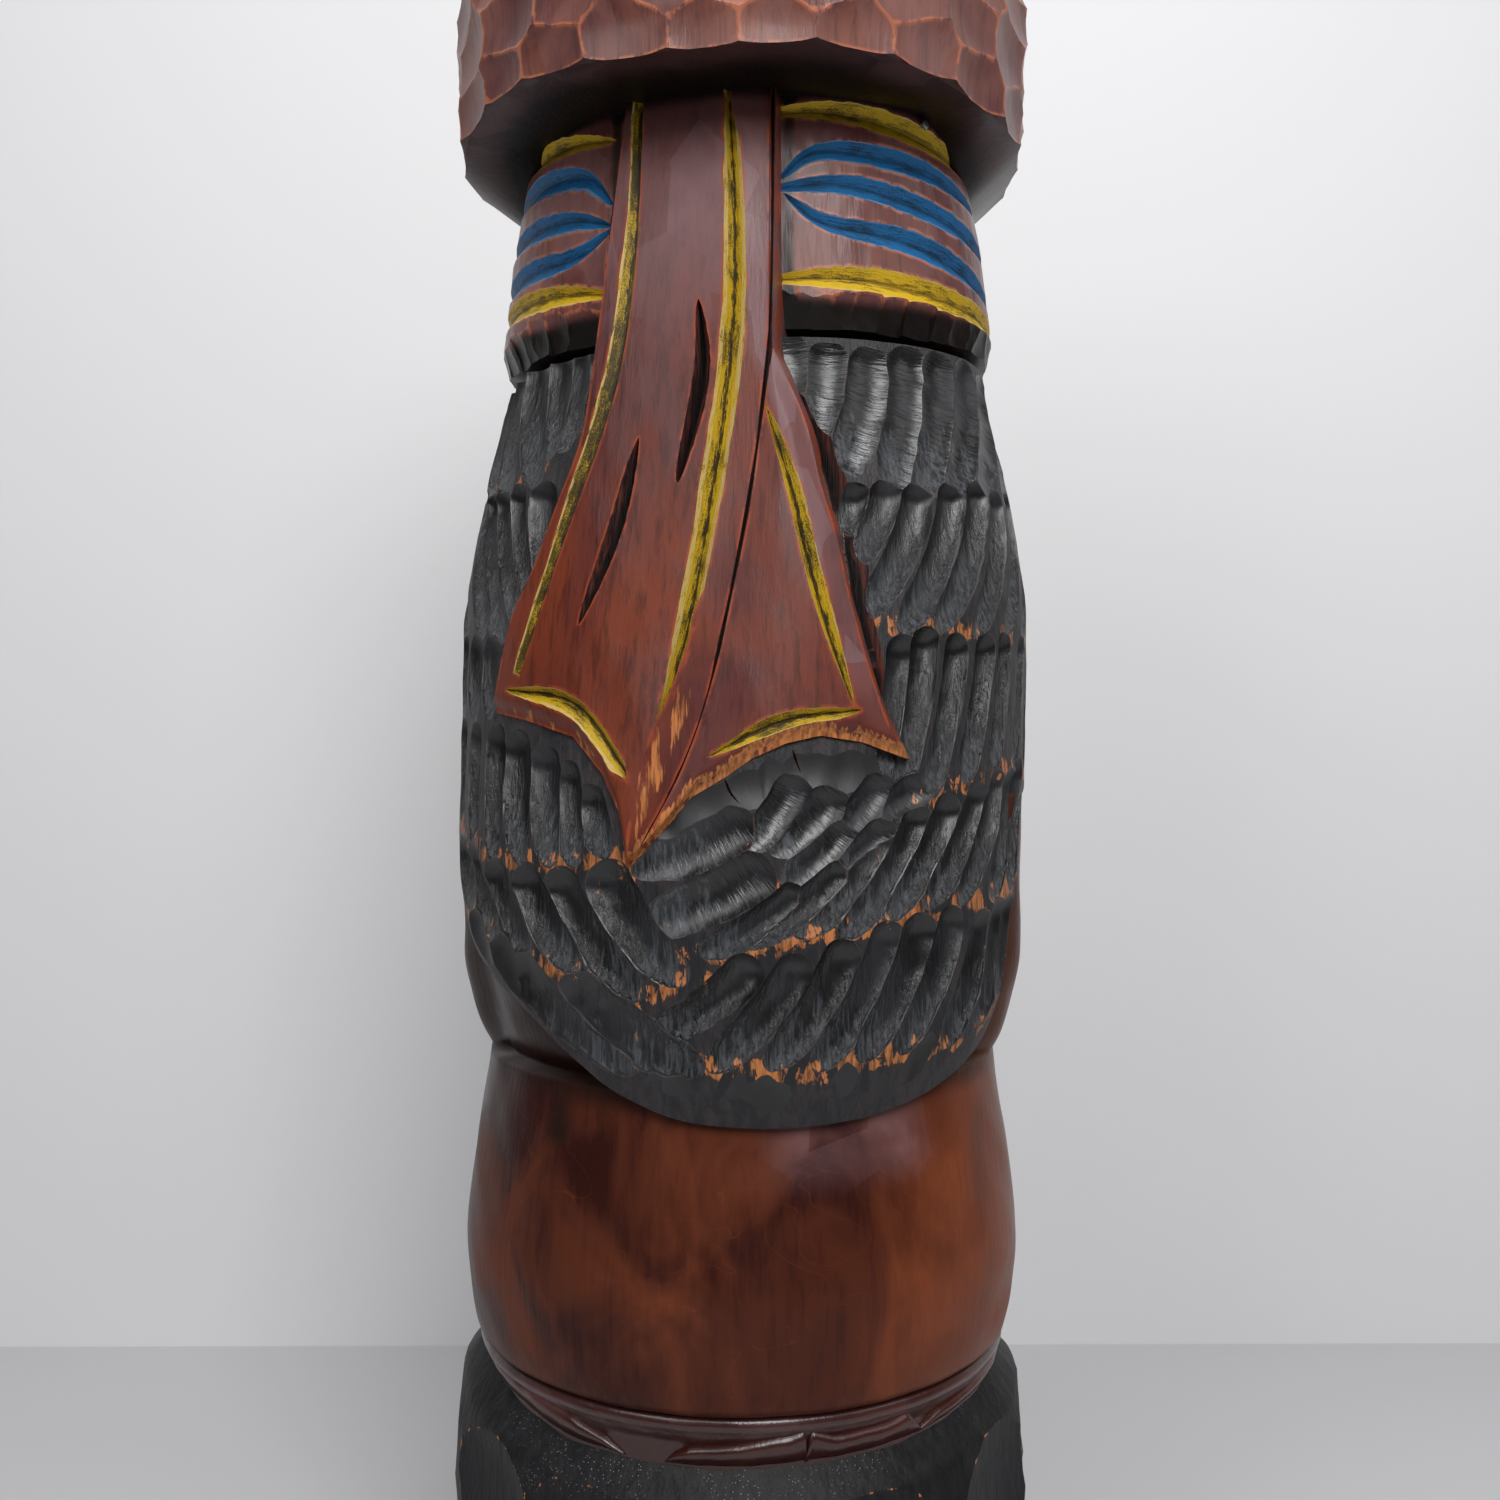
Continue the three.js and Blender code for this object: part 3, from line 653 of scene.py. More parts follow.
def varnished(
    name, deep, worn, look,
    cloud_scale=14.0, cloudy=0.45, streaky=0.55, veins=0.0, coat=0.0, shine=0.22,
):
    """Varnished wood: clouds between a deep and a worn colour, upright grain, a painted mauve sheen
    in a few broad cells, pale curved scratches, worn colour along crisp edges, and a thin clear
    coat.
    The marks on the mesh say where it is rubbed (worn), where the painted sheen shows (pale), where
    it is stripped (bare) and where painted shade darkens it, in places with soiling (shade), and
    cloudy, streaky and veins say how strongly the clouds, grain and scratches show."""
    wood = Finish(name, look.wood_gloss, coat, 0.2, shine)
    clouds = wood.noise(wood.stretched((1.0, 1.0, 0.8)), cloud_scale, 3.5, 0.55, 0.9)
    grain = wood.noise(wood.stretched((1.0, 1.0, 0.05)), 240.0, 5.0, 0.65)
    fine = wood.noise(wood.stretched((1.0, 1.0, 0.05)), 700.0, 3.0, 0.6)
    share = wood.steps(clouds, 0.32, 0.68, 0.5 - cloudy, 0.5 + cloudy)
    share = wood.sums("ADD", share, wood.steps(grain, 0.3, 0.7, -0.1, 0.1))
    share = wood.sums("ADD", share, wood.sums("SUBTRACT", wood.mark("worn"), 0.5))
    colour = wood.blend(share, deep, worn)
    streaks = wood.steps(grain, 0.46, 0.66, 0.0, streaky)
    colour = wood.blend(streaks, colour, times_colour(0.3, deep))
    bent = wood.noise(wood.stretched((1.0, 1.0, 1.5)), 26.0, 1.0, 0.5, 0.7)
    away = wood.sums("ABSOLUTE", wood.sums("SUBTRACT", bent, 0.5))
    scratches = wood.steps(away, 0.0, 0.004, veins, 0.0)
    colour = wood.blend(scratches, colour, times_colour(1.4, worn))
    # Painted sheen: mauve in a few cells where the mark pale allows it, standing for light mirrored
    # off facets.
    cells = wood.cells(wood.stretched((1.0, 1.0, 0.8)), 34.0, "Color")
    sheen = wood.sums("MULTIPLY", wood.steps(cells, 0.5, 0.56, 0.5, 1.0), wood.mark("pale"))
    sheen = wood.sums("MULTIPLY", sheen, wood.steps(clouds, 0.35, 0.6, 0.4, 1.0))
    colour = wood.blend(wood.sums("MULTIPLY", sheen, look.bloom), colour, tuple(look.sheen))
    edge = wood.steps(wood.mark("ridge"), 0.2, 1.8, 1.0, 0.0)
    patchy = wood.steps(wood.noise(wood.stretched((1.0, 1.0, 0.5)), 120.0, 4.0, 0.7), 0.42, 0.55)
    colour = wood.blend(wood.sums("MULTIPLY", edge, patchy), colour, times_colour(1.6, worn))
    torn = wood.sums("ADD", wood.mark("bare"), wood.steps(grain, 0.35, 0.65, -0.4, 0.4))
    flesh = wood.blend(wood.steps(fine, 0.38, 0.62), times_colour(0.5, look.bare), look.bare)
    colour = wood.blend(wood.steps(torn, 0.5, 0.7), colour, flesh)
    # Painted shade: the mark shade, roughened by the clouds, darkens the wood to near black under
    # overhangs and in corners, in places with soiling too.
    dirt_and_shade = wood.sums("ADD", wood.mark("shade"), wood.steps(clouds, 0.35, 0.65, -0.12, 0.12))
    colour = wood.blend(wood.steps(dirt_and_shade, 0.15, 0.9), colour, (0.006, 0.004, 0.003))
    rough = wood.steps(clouds, 0.35, 0.65, look.wood_gloss - 0.06, look.wood_gloss + 0.1)
    height = wood.sums("ADD", wood.sums("MULTIPLY", grain, 0.7), wood.sums("MULTIPLY", fine, 0.3))
    return wood.finish(colour, rough, wood.bump(height, 0.45, 0.0008))


def blackened(name, look, texture):
    """Black stain over gouged wood: near black with a blue-grey bloom. A flaky surface has upright
    torn fibres that grow towards a stroke's lower end, their blue-grey partly painted glints where
    the stroke turns up to the light, a rippled one has cross ripples from the gouge, and a smooth
    one has neither."""
    stain = Finish(name, 0.4, 0.0, 0.3, 0.6)
    bloom = stain.noise(stain.stretched((1.0, 1.0, 1.0)), 30.0, 4.0, 0.6)
    coarse = stain.noise(stain.stretched((1.0, 1.0, 0.2)), 150.0, 4.0, 0.65)
    colour = stain.blend(stain.steps(bloom, 0.4, 0.6), look.black, look.black_bloom)
    rough = stain.steps(bloom, 0.35, 0.65, 0.27, 0.4)
    if texture == "smooth":
        return stain.finish(colour, 0.5, stain.bump(coarse, 0.3, 0.0008))
    fibres = stain.noise(stain.stretched((1.0, 1.0, 0.1)), 560.0, 5.0, 0.72, 0.3)
    # Torn fibres, lighter towards a stroke's lower end: partly real tear-out and partly painted
    # glints where the stroke turns up to the light.
    lower = stain.sums("ADD", stain.mark("down"), stain.steps(coarse, 0.3, 0.7, -0.2, 0.2))
    torn = stain.sums("MULTIPLY", fibres, stain.steps(lower, 0.1, 0.8, 0.15, 1.0))
    frayed_and_glint = stain.steps(torn, 0.42, 0.58, 0.0, 0.7)
    colour = stain.blend(frayed_and_glint, colour, look.fibre_and_glint)
    chips = stain.sums("ADD", coarse, stain.steps(stain.mark("bare"), 0.4, 1.0, 0.0, 0.12))
    chips = stain.sums("ADD", chips, stain.steps(stain.mark("down"), 0.8, 1.0, 0.0, 0.05))
    colour = stain.blend(stain.steps(chips, 0.72, 0.76), colour, look.bare)
    edge = stain.steps(stain.mark("ridge"), 0.0, 0.9, 1.0, 0.0)
    rubbed = stain.sums("MULTIPLY", edge, stain.steps(coarse, 0.42, 0.58, 0.0, 0.8))
    colour = stain.blend(rubbed, colour, (0.075, 0.052, 0.045))
    if texture == "rippled":
        place = stain.stretched((0.15, 1.0, 1.0), coordinates="UV")
        waves = stain.noise(place, 420.0, 3.0, 0.6, 0.4)
        return stain.finish(colour, rough, stain.bump(waves, 0.5, 0.0012))
    return stain.finish(colour, rough, stain.bump(torn, 0.9, 0.0018))


def ridge_wood(look):
    """The wood left standing between gouge rows: stained black, and bare with upright fibres in
    broken pieces where the mark bare is high."""
    wood = Finish("Beard ridges", 0.5, 0.0, 0.3, 0.35)
    torn = wood.noise(wood.stretched((1.0, 1.0, 0.4)), 110.0, 5.0, 0.75, 0.6)
    fibres = wood.noise(wood.stretched((1.0, 1.0, 0.09)), 420.0, 4.0, 0.7)
    share = wood.sums("ADD", torn, wood.steps(wood.mark("bare"), 0.15, 1.0, -0.16, 0.05))
    share = wood.steps(share, 0.52, 0.56)
    thin = wood.steps(torn, 0.42, 0.6, 0.0, 0.8)
    colour = wood.blend(thin, look.black_bloom, (0.035, 0.027, 0.029))
    fresh = wood.blend(wood.steps(fibres, 0.38, 0.6), times_colour(0.3, look.bare), look.bare)
    colour = wood.blend(share, colour, fresh)
    return wood.finish(colour, None, wood.bump(fibres, 0.8, 0.0014))


def painted(name, colour, dirt_and_shade, grime=0.0, deep=0.92):
    """Thick paint in a V-cut: dark specks and drags along the cut, a dark bottom, and a thin chalky
    border in places. The third argument's dark colour serves the specks, the drags and the bottom,
    whose darkening is partly soiling and partly painted shade in the groove. The mark down is 0 at
    the cut's edges and 1 at its bottom, grime adds soiling all over, and deep is how black the
    bottom is."""
    paint = Finish(name, 0.45, 0.0, 0.3, 0.3)
    drags = paint.noise(paint.stretched((1.0, 0.12, 1.0), coordinates="UV"), 800.0, 5.0, 0.75)
    specks = paint.noise(paint.stretched((1.0, 0.5, 1.0), coordinates="UV"), 2200.0, 4.0, 0.8)
    patches = paint.noise(paint.stretched((1.0, 0.6, 1.0), coordinates="UV"), 60.0, 4.0, 0.6)
    dirty = paint.steps(patches, 0.36, 0.64, grime - 0.04, grime + 0.09)
    tone = paint.blend(
        paint.steps(paint.sums("ADD", drags, dirty), 0.5, 0.66, 0.0, 0.6), colour, dirt_and_shade)
    worn = paint.sums("ADD", specks, dirty)
    tone = paint.blend(paint.steps(worn, 0.54, 0.62, 0.0, 0.85), tone, dirt_and_shade)
    border = paint.steps(paint.mark("down"), 0.04, 0.16, 1.0, 0.0)
    chalk = tuple(min(1.0, 0.8 * c + 0.12) for c in colour)
    flecks = paint.steps(drags, 0.42, 0.5)
    tone = paint.blend(paint.sums("MULTIPLY", border, flecks), tone, chalk)
    # Painted shade, partly soiling: the groove darkens towards its bottom.
    bottom = paint.sums("ADD", paint.mark("down"), paint.steps(drags, 0.35, 0.65, -0.22, 0.22))
    tone = paint.blend(paint.steps(bottom, 0.66, 0.86, 0.0, deep), tone, dirt_and_shade)
    return paint.finish(tone, None, paint.bump(drags, 0.8, 0.0009))


def dark_cut():
    """A dark unpainted cut: torn maroon walls with lighter fibres, and black at the bottom as
    painted shade.
    """
    wood = Finish("Dark cut", 0.6, 0.0, 0.3, 0.25)
    grain = wood.noise(wood.stretched((1.0, 1.0, 0.06)), 420.0, 4.0, 0.65)
    colour = wood.blend(wood.steps(grain, 0.42, 0.62), (0.012, 0.003, 0.003), (0.085, 0.022, 0.015))
    # Painted shade: the cut turns black towards its bottom.
    low = wood.sums("ADD", wood.mark("down"), wood.steps(grain, 0.35, 0.65, -0.2, 0.2))
    colour = wood.blend(wood.steps(low, 0.45, 0.8), colour, (0.003, 0.001, 0.001))
    return wood.finish(colour, None, wood.bump(grain, 0.8, 0.0012))


def dusty_black(look):
    """The drum's black stain: bare wood in a few worn edges, and pale dust on what faces up."""
    stain = Finish("Drum black", 0.5, 0.0, 0.35, 0.2)
    grain = stain.noise(stain.stretched((1.0, 1.0, 0.25)), 180.0, 5.0, 0.65)
    bloom = stain.noise(stain.stretched((1.0, 1.0, 1.0)), 20.0, 4.0, 0.6)
    faint = times_colour(0.7, look.black_bloom)
    colour = stain.blend(stain.steps(bloom, 0.4, 0.6), look.black, faint)
    edge = stain.steps(stain.mark("ridge"), 0.0, 1.6, 0.2, 0.0)
    chipped = stain.steps(stain.sums("ADD", grain, edge), 0.76, 0.8)
    colour = stain.blend(chipped, colour, look.bare)
    dust = stain.cells(stain.stretched((1.0, 1.0, 1.0)), 700.0)
    upward = stain.steps(stain.mark("dusty"), 0.3, 0.9)
    sparse = stain.steps(bloom, 0.5, 0.62, 0.0, 0.7)
    specks = stain.sums("MULTIPLY", stain.steps(dust, 0.1, 0.18, 1.0, 0.0), upward)
    specks = stain.sums("MULTIPLY", specks, sparse)
    colour = stain.blend(specks, colour, (0.45, 0.43, 0.4))
    haze = stain.sums("MULTIPLY", upward, stain.steps(grain, 0.35, 0.65, 0.0, 0.025))
    colour = stain.blend(haze, colour, (0.3, 0.29, 0.28))
    return stain.finish(colour, None, stain.bump(grain, 0.7, 0.0014))


def steel():
    """Bare steel with duller worn patches."""
    metal = Finish("Nail steel", 0.32, metallic=1.0)
    worn = metal.noise(metal.stretched((1.0, 1.0, 1.0)), 900.0, 3.0, 0.6)
    colour = metal.blend(metal.steps(worn, 0.4, 0.7), (0.5, 0.49, 0.47), (0.16, 0.14, 0.13))
    return metal.finish(colour)


def plain(name, colour, roughness):
    """One even colour."""
    coat = Finish(name, roughness)
    return coat.finish(colour)


# ---- Looking at a cut mesh ----

FAR_RIDGE = 8.0  # the mark of a point far from every crisp edge, in millimetres


def points_of(mesh):
    """A mesh's points in millimetres, one row each."""
    held = np.empty(len(mesh.vertices) * 3, np.float32)
    mesh.vertices.foreach_get("co", held)
    return held.reshape(-1, 3).astype(float) / MM


def angle_of(points):
    """Each point's angle about the pole, from -180 to 180 degrees."""
    return np.degrees(np.arctan2(points[:, 0], -points[:, 1]))


def marked(mesh, name, values):
    """Stores a value per point under a name."""
    held = mesh.attributes.get(name) or mesh.attributes.new(name, "FLOAT", "POINT")
    held.data.foreach_set("value", np.asarray(values, np.float32))


def toned(piece, tone):
    """Stores the marks from 0 to 1 that tone gives for every point, and puts the mark ridge far
    off on a piece that has none."""
    points = points_of(piece.data)
    if "ridge" not in piece.data.attributes:
        marked(piece.data, "ridge", np.full(len(points), FAR_RIDGE))
    for name, values in tone(points).items():
        marked(piece.data, name, np.clip(np.broadcast_to(values, len(points)), 0, 1))


def mark_ridges(piece, furthest=FAR_RIDGE):
    """Gives each point its distance in millimetres to the nearest crisp edge's points, up to the
    furthest: the least length over blocks of points, sorted by height so that each block only
    meets edge points at its own level."""
    mesh = piece.data
    points = points_of(mesh)
    ends = np.empty(len(mesh.edges) * 2, np.int32)
    mesh.edges.foreach_get("vertices", ends)
    sharp = np.empty(len(mesh.edges), bool)
    mesh.attributes["sharp_edge"].data.foreach_get("value", sharp)
    ends = ends.reshape(-1, 2)[sharp]
    crest = np.concatenate([points[ends[:, 0]], points[ends[:, 1]], points[ends].mean(axis=1)])
    crest = crest[np.argsort(crest[:, 2])]
    order = np.argsort(points[:, 2])
    found = np.full(len(points), furthest)
    for block in np.array_split(order, max(1, len(order) // 400)):
        low = np.searchsorted(crest[:, 2], points[block, 2].min() - furthest)
        high = np.searchsorted(crest[:, 2], points[block, 2].max() + furthest)
        if high > low:
            gaps = points[block][:, None, :] - crest[None, low:high, :]
            found[block] = np.minimum(furthest, np.sqrt((gaps**2).sum(axis=2).min(axis=1)))
    marked(mesh, "ridge", found)


# ---- Body, neck and the back of the head ----

# Profiles as [z, radius], and the angles between which the beard covers the body.
BODY_PROFILE = [
    [214, 126], [BELT_TOP - 3, 133], [BELT_TOP + 1, 140.6], [251, 144.8], [277, 146.6],
    [314, 143.3], [345, 138.5], [374, 134.4],
]
HEAD_BACK_PROFILE = [[374, 134.4], [384, 139.5], [398, 144], [425, 149], [508, 149.5]]
BELLY_TOP = 374.0
NECK_LOW = 510.0
NECK_TOP = 751.0
BEARD_SIDES = [-68, 87]


def graded_angles(front_step, back_step, half=112.0):
    """Angles all round the pole, close together in front and wider apart behind."""
    front = np.arange(-half, half, front_step)
    back = np.arange(half, 360 - half, back_step)
    return np.concatenate([front, back])


def behind_beard(angle):
    """How far an angle lies behind the beard: 1 under it, 0 where the bare head shows."""
    left, right = BEARD_SIDES
    turned_angle = np.mod(angle + 180, 360) - 180
    return smooth(left - 2, left + 14, turned_angle) * (
        1 - smooth(right - 14, right + 2, turned_angle)
    )


def belly_piece(scene):
    """The belly and the back of the head: a turned profile, with soft low facets as crossed sines
    of angle and height."""
    look = scene.totem_look
    angles = graded_angles(1.5, 2.5)
    belly = np.linspace(214, BELLY_TOP, 64)
    head = np.linspace(BELLY_TOP + 0.6, NECK_LOW - 2, 44)
    neck = np.linspace(NECK_LOW + 2, NECK_TOP, 30)
    z = np.concatenate([belly, head, neck])[:, None] + 0.0 * angles[None, :]
    a = angles[None, :] + 0.0 * z
    facets = 0.45 * ripple(a * LOG_RADIUS * math.pi / 180, z, 17.0, 2.2)
    radius = curve(BODY_PROFILE, z) + facets
    back = curve(HEAD_BACK_PROFILE, z) - 11 * behind_beard(a) + facets
    inner = flattened(a, mix(118, 112, smooth(NECK_LOW + 2, NECK_TOP, z)), 77)
    radius = np.where(z > BELLY_TOP + 0.3, back, radius)
    radius = np.where(z > NECK_LOW, inner, radius)
    varnish = varnished(
        "Belly varnish", look.belly, look.belly_worn, look,
        cloud_scale=15.0, cloudy=0.32, streaky=0.2, veins=0.14, shine=0.14,
    )
    piece = turned("belly", angles, radius, z, varnish)
    numbered(piece.data, 0)
    toned(piece, belly_tone)
    return piece


def belly_tone(points):
    """Lighter to the right and low down, and darker to the left and round the back, with painted
    shade under the beard and just above the belt, a small dark spot on the left, and a painted
    sheen patch high on the right."""
    angle = angle_of(points)
    z = points[:, 2]
    front = smooth(176, 100, angle)
    smudge = np.hypot((angle + 24) * 2.4, z - 352)
    return {
        "worn": 0.02
        + 0.26 * smooth(-50, 30, angle) * front
        + 0.22 * smooth(350, 270, z)
        + 0.5 * smooth(30, 60, angle) * front,
        # Painted sheen: a patch high on the right.
        "pale": 0.9 * smooth(22, 8, np.abs(angle - 38)) * smooth(325, 345, z),
        # Painted shade under the beard and just above the belt, and a small dark spot on the left.
        "shade": 0.55 * smooth(355, 372, z)
        + 0.6 * smooth(17, 3, smudge)
        + 0.5 * smooth(236, 229, z),
    }


# ---- Hair and beard ----

# The beard's profiles as [z, radius] at the side and in front, and its lower edge as [angle, z].
HAIR_SIDE = [[360, 144], [398, 147.5], [425, 150.5], [530, 151.5], [592, 152.5], [670, 141.5],
             [728, 129]]
HAIR_FRONT = [[360, 144], [398, 147.5], [440, 151], [478, 150.5], [530, 143], [592, 131],
              [653, 116], [728, 97]]
HAIR_LOW = 503
HAIR_TOP = 727
BEARD_EDGE = [[-68, HAIR_LOW], [-62, 458], [-52, 434], [-41, 420], [-30, 407], [-17, 386],
              [-7, 372], [7, 362], [22, 360], [37, 362], [50, 368], [61, 377], [69, 387],
              [75, 402], [82, 458], [87, HAIR_LOW]]
LIP_DROP = 3.5  # how far the lower edge rolls in, and over which share of the beard's height
LIP_SHARE = 0.16
ROLL_TOP = 560.0  # the level below which the beard's rings follow its lower edge

TEXTURES = ("flaky", "rippled", "smooth")


class GougeRow(NamedTuple):
    """A row of gouge strokes. The keys are strokes as [upper angle, upper z, lower angle, lower z]
    and the row's strokes lie evenly between them. bare says how much bare wood shows along the
    row's lower border."""

    keys: list
    count: int
    width: float
    depth: float
    texture: str
    bare: float


GOUGE_ROWS = [
    GougeRow(
        [[26, 724, 26, 690], [35, 723, 31, 682], [46, 723, 36, 667], [56, 723, 46, 658],
         [66, 723, 54, 657], [76, 723, 62, 657], [86, 723, 72, 658], [96, 725, 84, 660],
         [104, 726, 96, 662]],
        9, 27, 4.2, "rippled", 0.45,
    ),
    GougeRow(
        [[40, 654, 32, 624], [48, 658, 36, 615], [55, 657, 39, 594], [63, 659, 46, 588],
         [72, 662, 55, 590], [80, 661, 65, 589], [89, 664, 75, 590], [98, 666, 86, 590],
         [106, 667, 96, 592]],
        9, 23, 6.2, "flaky", 0.8,
    ),
    GougeRow(
        [[38, 580, 37, 546], [46, 582, 41, 519], [52, 585, 44, 510], [60, 586, 51, 510],
         [68, 586, 60, 516], [75, 587, 70, 522], [84, 589, 79, 524], [93, 591, 88, 522],
         [103, 592, 98, 522]],
        9, 22, 6.2, "flaky", 0.9,
    ),
    GougeRow(
        [[-1, 491, 19, 519], [18, 520, 46, 528]],
        2, 17, 1.2, "smooth", 0.0,
    ),
    GougeRow(
        [[-40, 424, -31, 408], [-22, 398, -11, 380], [-3, 379, 10, 366], [12, 375, 27, 364],
         [29, 376, 43, 367], [47, 384, 59, 378]],
        6, 24, 1.5, "smooth", 0.0,
    ),
    GougeRow(
        [[24, 519, 16, 490], [32, 512, 21, 486], [41, 516, 32, 494], [49, 517, 39, 500]],
        4, 24, 6.0, "rippled", 0.5,
    ),
    GougeRow(
        [[16, 500, -3, 478], [19, 480, -3, 453]],
        2, 27, 5.6, "rippled", 0.9,
    ),
    GougeRow(
        [[33, 500, 22, 471], [41, 497, 30, 474]],
        2, 23, 6.0, "rippled", 0.6,
    ),
    GougeRow(
        [[25, 468, 9, 442], [34, 481, 16, 444], [41, 494, 25, 448], [49, 502, 33, 452],
         [56, 507, 41, 455], [64, 511, 49, 459], [72, 518, 58, 460], [78, 520, 68, 460],
         [84, 524, 77, 466]],
        9, 22, 6.2, "flaky", 1.0,
    ),
    GougeRow(
        [[16, 435, 0, 405], [25, 439, 10, 391], [34, 444, 21, 388], [42, 451, 29, 388],
         [49, 454, 37, 391], [57, 454, 46, 395], [65, 454, 55, 394], [72, 454, 66, 398],
         [78, 458, 73, 410]],
        9, 24, 6.2, "flaky", 0.9,
    ),
    GougeRow(
        [[-28, 728, -28, 690], [-35, 730, -32, 680], [-42, 732, -37, 680], [-52, 735, -39, 667],
         [-64, 739, -51, 664], [-75, 738, -62, 667], [-86, 738, -74, 667], [-94, 738, -86, 667]],
        8, 28, 6.2, "flaky", 0.6,
    ),
    GougeRow(
        [[-30, 650, -25, 612], [-37, 660, -26, 600], [-47, 662, -31, 595], [-55, 665, -35, 590],
         [-63, 667, -40, 586], [-71, 670, -49, 592], [-82, 671, -64, 592], [-92, 672, -80, 594]],
        8, 24, 6.8, "flaky", 0.3,
    ),
    GougeRow(
        [[-39, 586, -38, 556], [-46, 586, -43, 550], [-54, 588, -51, 548], [-64, 591, -61, 549],
         [-75, 595, -72, 550], [-86, 599, -84, 552]],
        6, 24, 4.8, "flaky", 0.1,
    ),
    GougeRow(
        [[-14, 512, -9, 483], [-19, 524, -15, 480], [-25, 532, -21, 480], [-33, 537, -29, 480],
         [-41, 540, -38, 482], [-51, 543, -48, 486], [-61, 548, -58, 494], [-72, 552, -69, 508],
         [-83, 556, -80, 510], [-93, 560, -88, 514]],
        10, 24, 6.8, "flaky", 0.9,
    ),
    GougeRow(
        [[-10, 478, 5, 430], [-20, 472, -3, 420], [-29, 475, -14, 430], [-39, 476, -27, 434],
         [-49, 480, -36, 441], [-58, 486, -47, 452]],
        6, 27, 6.2, "flaky", 0.9,
    ),
    GougeRow(
        [[-18, 424, 7, 387], [-32, 430, -3, 383]],
        2, 32, 5.0, "flaky", 0.3,
    ),
    GougeRow(
        [[-36, 440, -22, 402], [-48, 448, -38, 420]],
        2, 24, 3.6, "smooth", 0.2,
    ),
    GougeRow(
        [[106, 727, 106, 666], [262, 728, 262, 666]],
        19, 28, 4.6, "rippled", 0.3,
    ),
    GougeRow(
        [[105, 667, 105, 590], [262, 668, 262, 592]],
        20, 27, 4.8, "flaky", 0.4,
    ),
    GougeRow(
        [[105, 592, 105, 518], [262, 596, 262, 520]],
        20, 27, 4.8, "flaky", 0.4,
    ),
]
# Narrow cuts as [angle, z] points, width and depth: two cracks in the flats under the nose and the
# deep gap beside the nose. All take the dark cut's colour, and in the gap its black is partly
# painted shade and partly black paint.
BEARD_CUTS = [
    ([[12, 517], [13, 511], [15, 505]], 2.2, 2.5),
    ([[24, 530], [25, 523], [26, 517]], 2.2, 2.5),
    ([[23, 727], [29, 700], [33, 677], [36, 650], [38, 622], [39, 590], [42, 556], [47, 532]],
     11, 6),
]


def hair_radius(angle, z):
    """The beard's radius: round behind and an ellipse in front, between two profiles."""
    return flattened(angle, curve(HAIR_SIDE, z), curve(HAIR_FRONT, z))


def gouge_row(number, row, sizes, material):
    """One row of strokes, spread evenly between its keys with a little unevenness in place,
    length, width and depth. A stroke's bow is the radius of its round section."""
    keys = np.array(row.keys, float)
    place = np.linspace(0, 1, len(keys))
    cutters = []
    for i in range(row.count):
        odd = number * 57 + i * 3
        share = (i + 0.22 * uneven(odd)) / max(row.count - 1, 1)
        high_angle, high, low_angle, low = (np.interp(share, place, keys[:, n]) for n in range(4))
        high = high + 4 * uneven(odd + 1)
        low = low + 5 * uneven(odd + 2)
        length = math.hypot(math.radians(high_angle - low_angle) * LOG_RADIUS, high - low)
        fall = (low_angle - high_angle, low - high)
        above = RUN_IN / length
        below = RUN_OUT / length
        wide = sizes.gouge_width * row.width * (1 + 0.14 * uneven(odd + 4))
        deep = sizes.gouge_depth * row.depth * (1 + 0.2 * uneven(odd + 5))
        top = (high_angle - fall[0] * above, high - fall[1] * above)
        bottom = (low_angle + fall[0] * below, low + fall[1] * below)
        bow = wide * wide / (8 * deep)
        bend = STROKE_BEND * (top[0] - bottom[0])
        cutters.append(
            gouge_stroke(top, bottom, hair_radius, bow, deep, bend, material, odd + 1)
        )
    return cutters


def beard_piece(scene):
    """Hair all round and the beard in front, turned from a profile whose lower edge follows the
    beard's outline and rolls inwards with the square of the height above it."""
    look = scene.totem_look
    angles = graded_angles(1.5, 3.0)
    wrapped = np.mod(angles + 180, 360) - 180
    low = np.where(
        (wrapped > BEARD_SIDES[0]) & (wrapped < BEARD_SIDES[1]),
        curve(BEARD_EDGE, wrapped),
        HAIR_LOW,
    )
    shares = np.concatenate([[0], np.linspace(0, LIP_SHARE, 9), np.linspace(0.2, 0.96, 24)])
    upper = np.linspace(ROLL_TOP, HAIR_TOP, 44)
    z = np.concatenate([
        mix(low[None, :], ROLL_TOP, shares[:, None]),
        upper[:, None] + 0.0 * angles[None, :],
    ])
    a = angles[None, :] + 0.0 * z
    rolled = np.clip(1 - shares / LIP_SHARE, 0, 1)
    drop = np.concatenate([LIP_DROP * rolled**2, np.zeros(len(upper))])
    radius = hair_radius(a, z) - drop[:, None] + 0.4 * ripple(a * 2.6, z, 12.0, 0.4)
    radius[0] = 100
    piece = turned("beard", angles, radius, z, ridge_wood(look))
    blacks = {key: blackened("Beard black, " + key, look, key) for key in TEXTURES}
    gap = dark_cut()
    cutters = []
    for number, row in enumerate(GOUGE_ROWS):
        cutters += gouge_row(number, row, scene.totem_sizes, blacks[row.texture])
    for number, (at, width, deep) in enumerate(BEARD_CUTS):
        spots = np.array(at, float)
        path = around(spots[:, 0], hair_radius(spots[:, 0], spots[:, 1]) + 0.3, spots[:, 1])
        cutters.append(line_cut(path, gap, CRACK_MARKS + number, width, deep, 0.3))
    carve(piece, cutters, 60.0)
    mark_bare(piece.data)
    mark_ridges(piece, 3.0)
    return piece


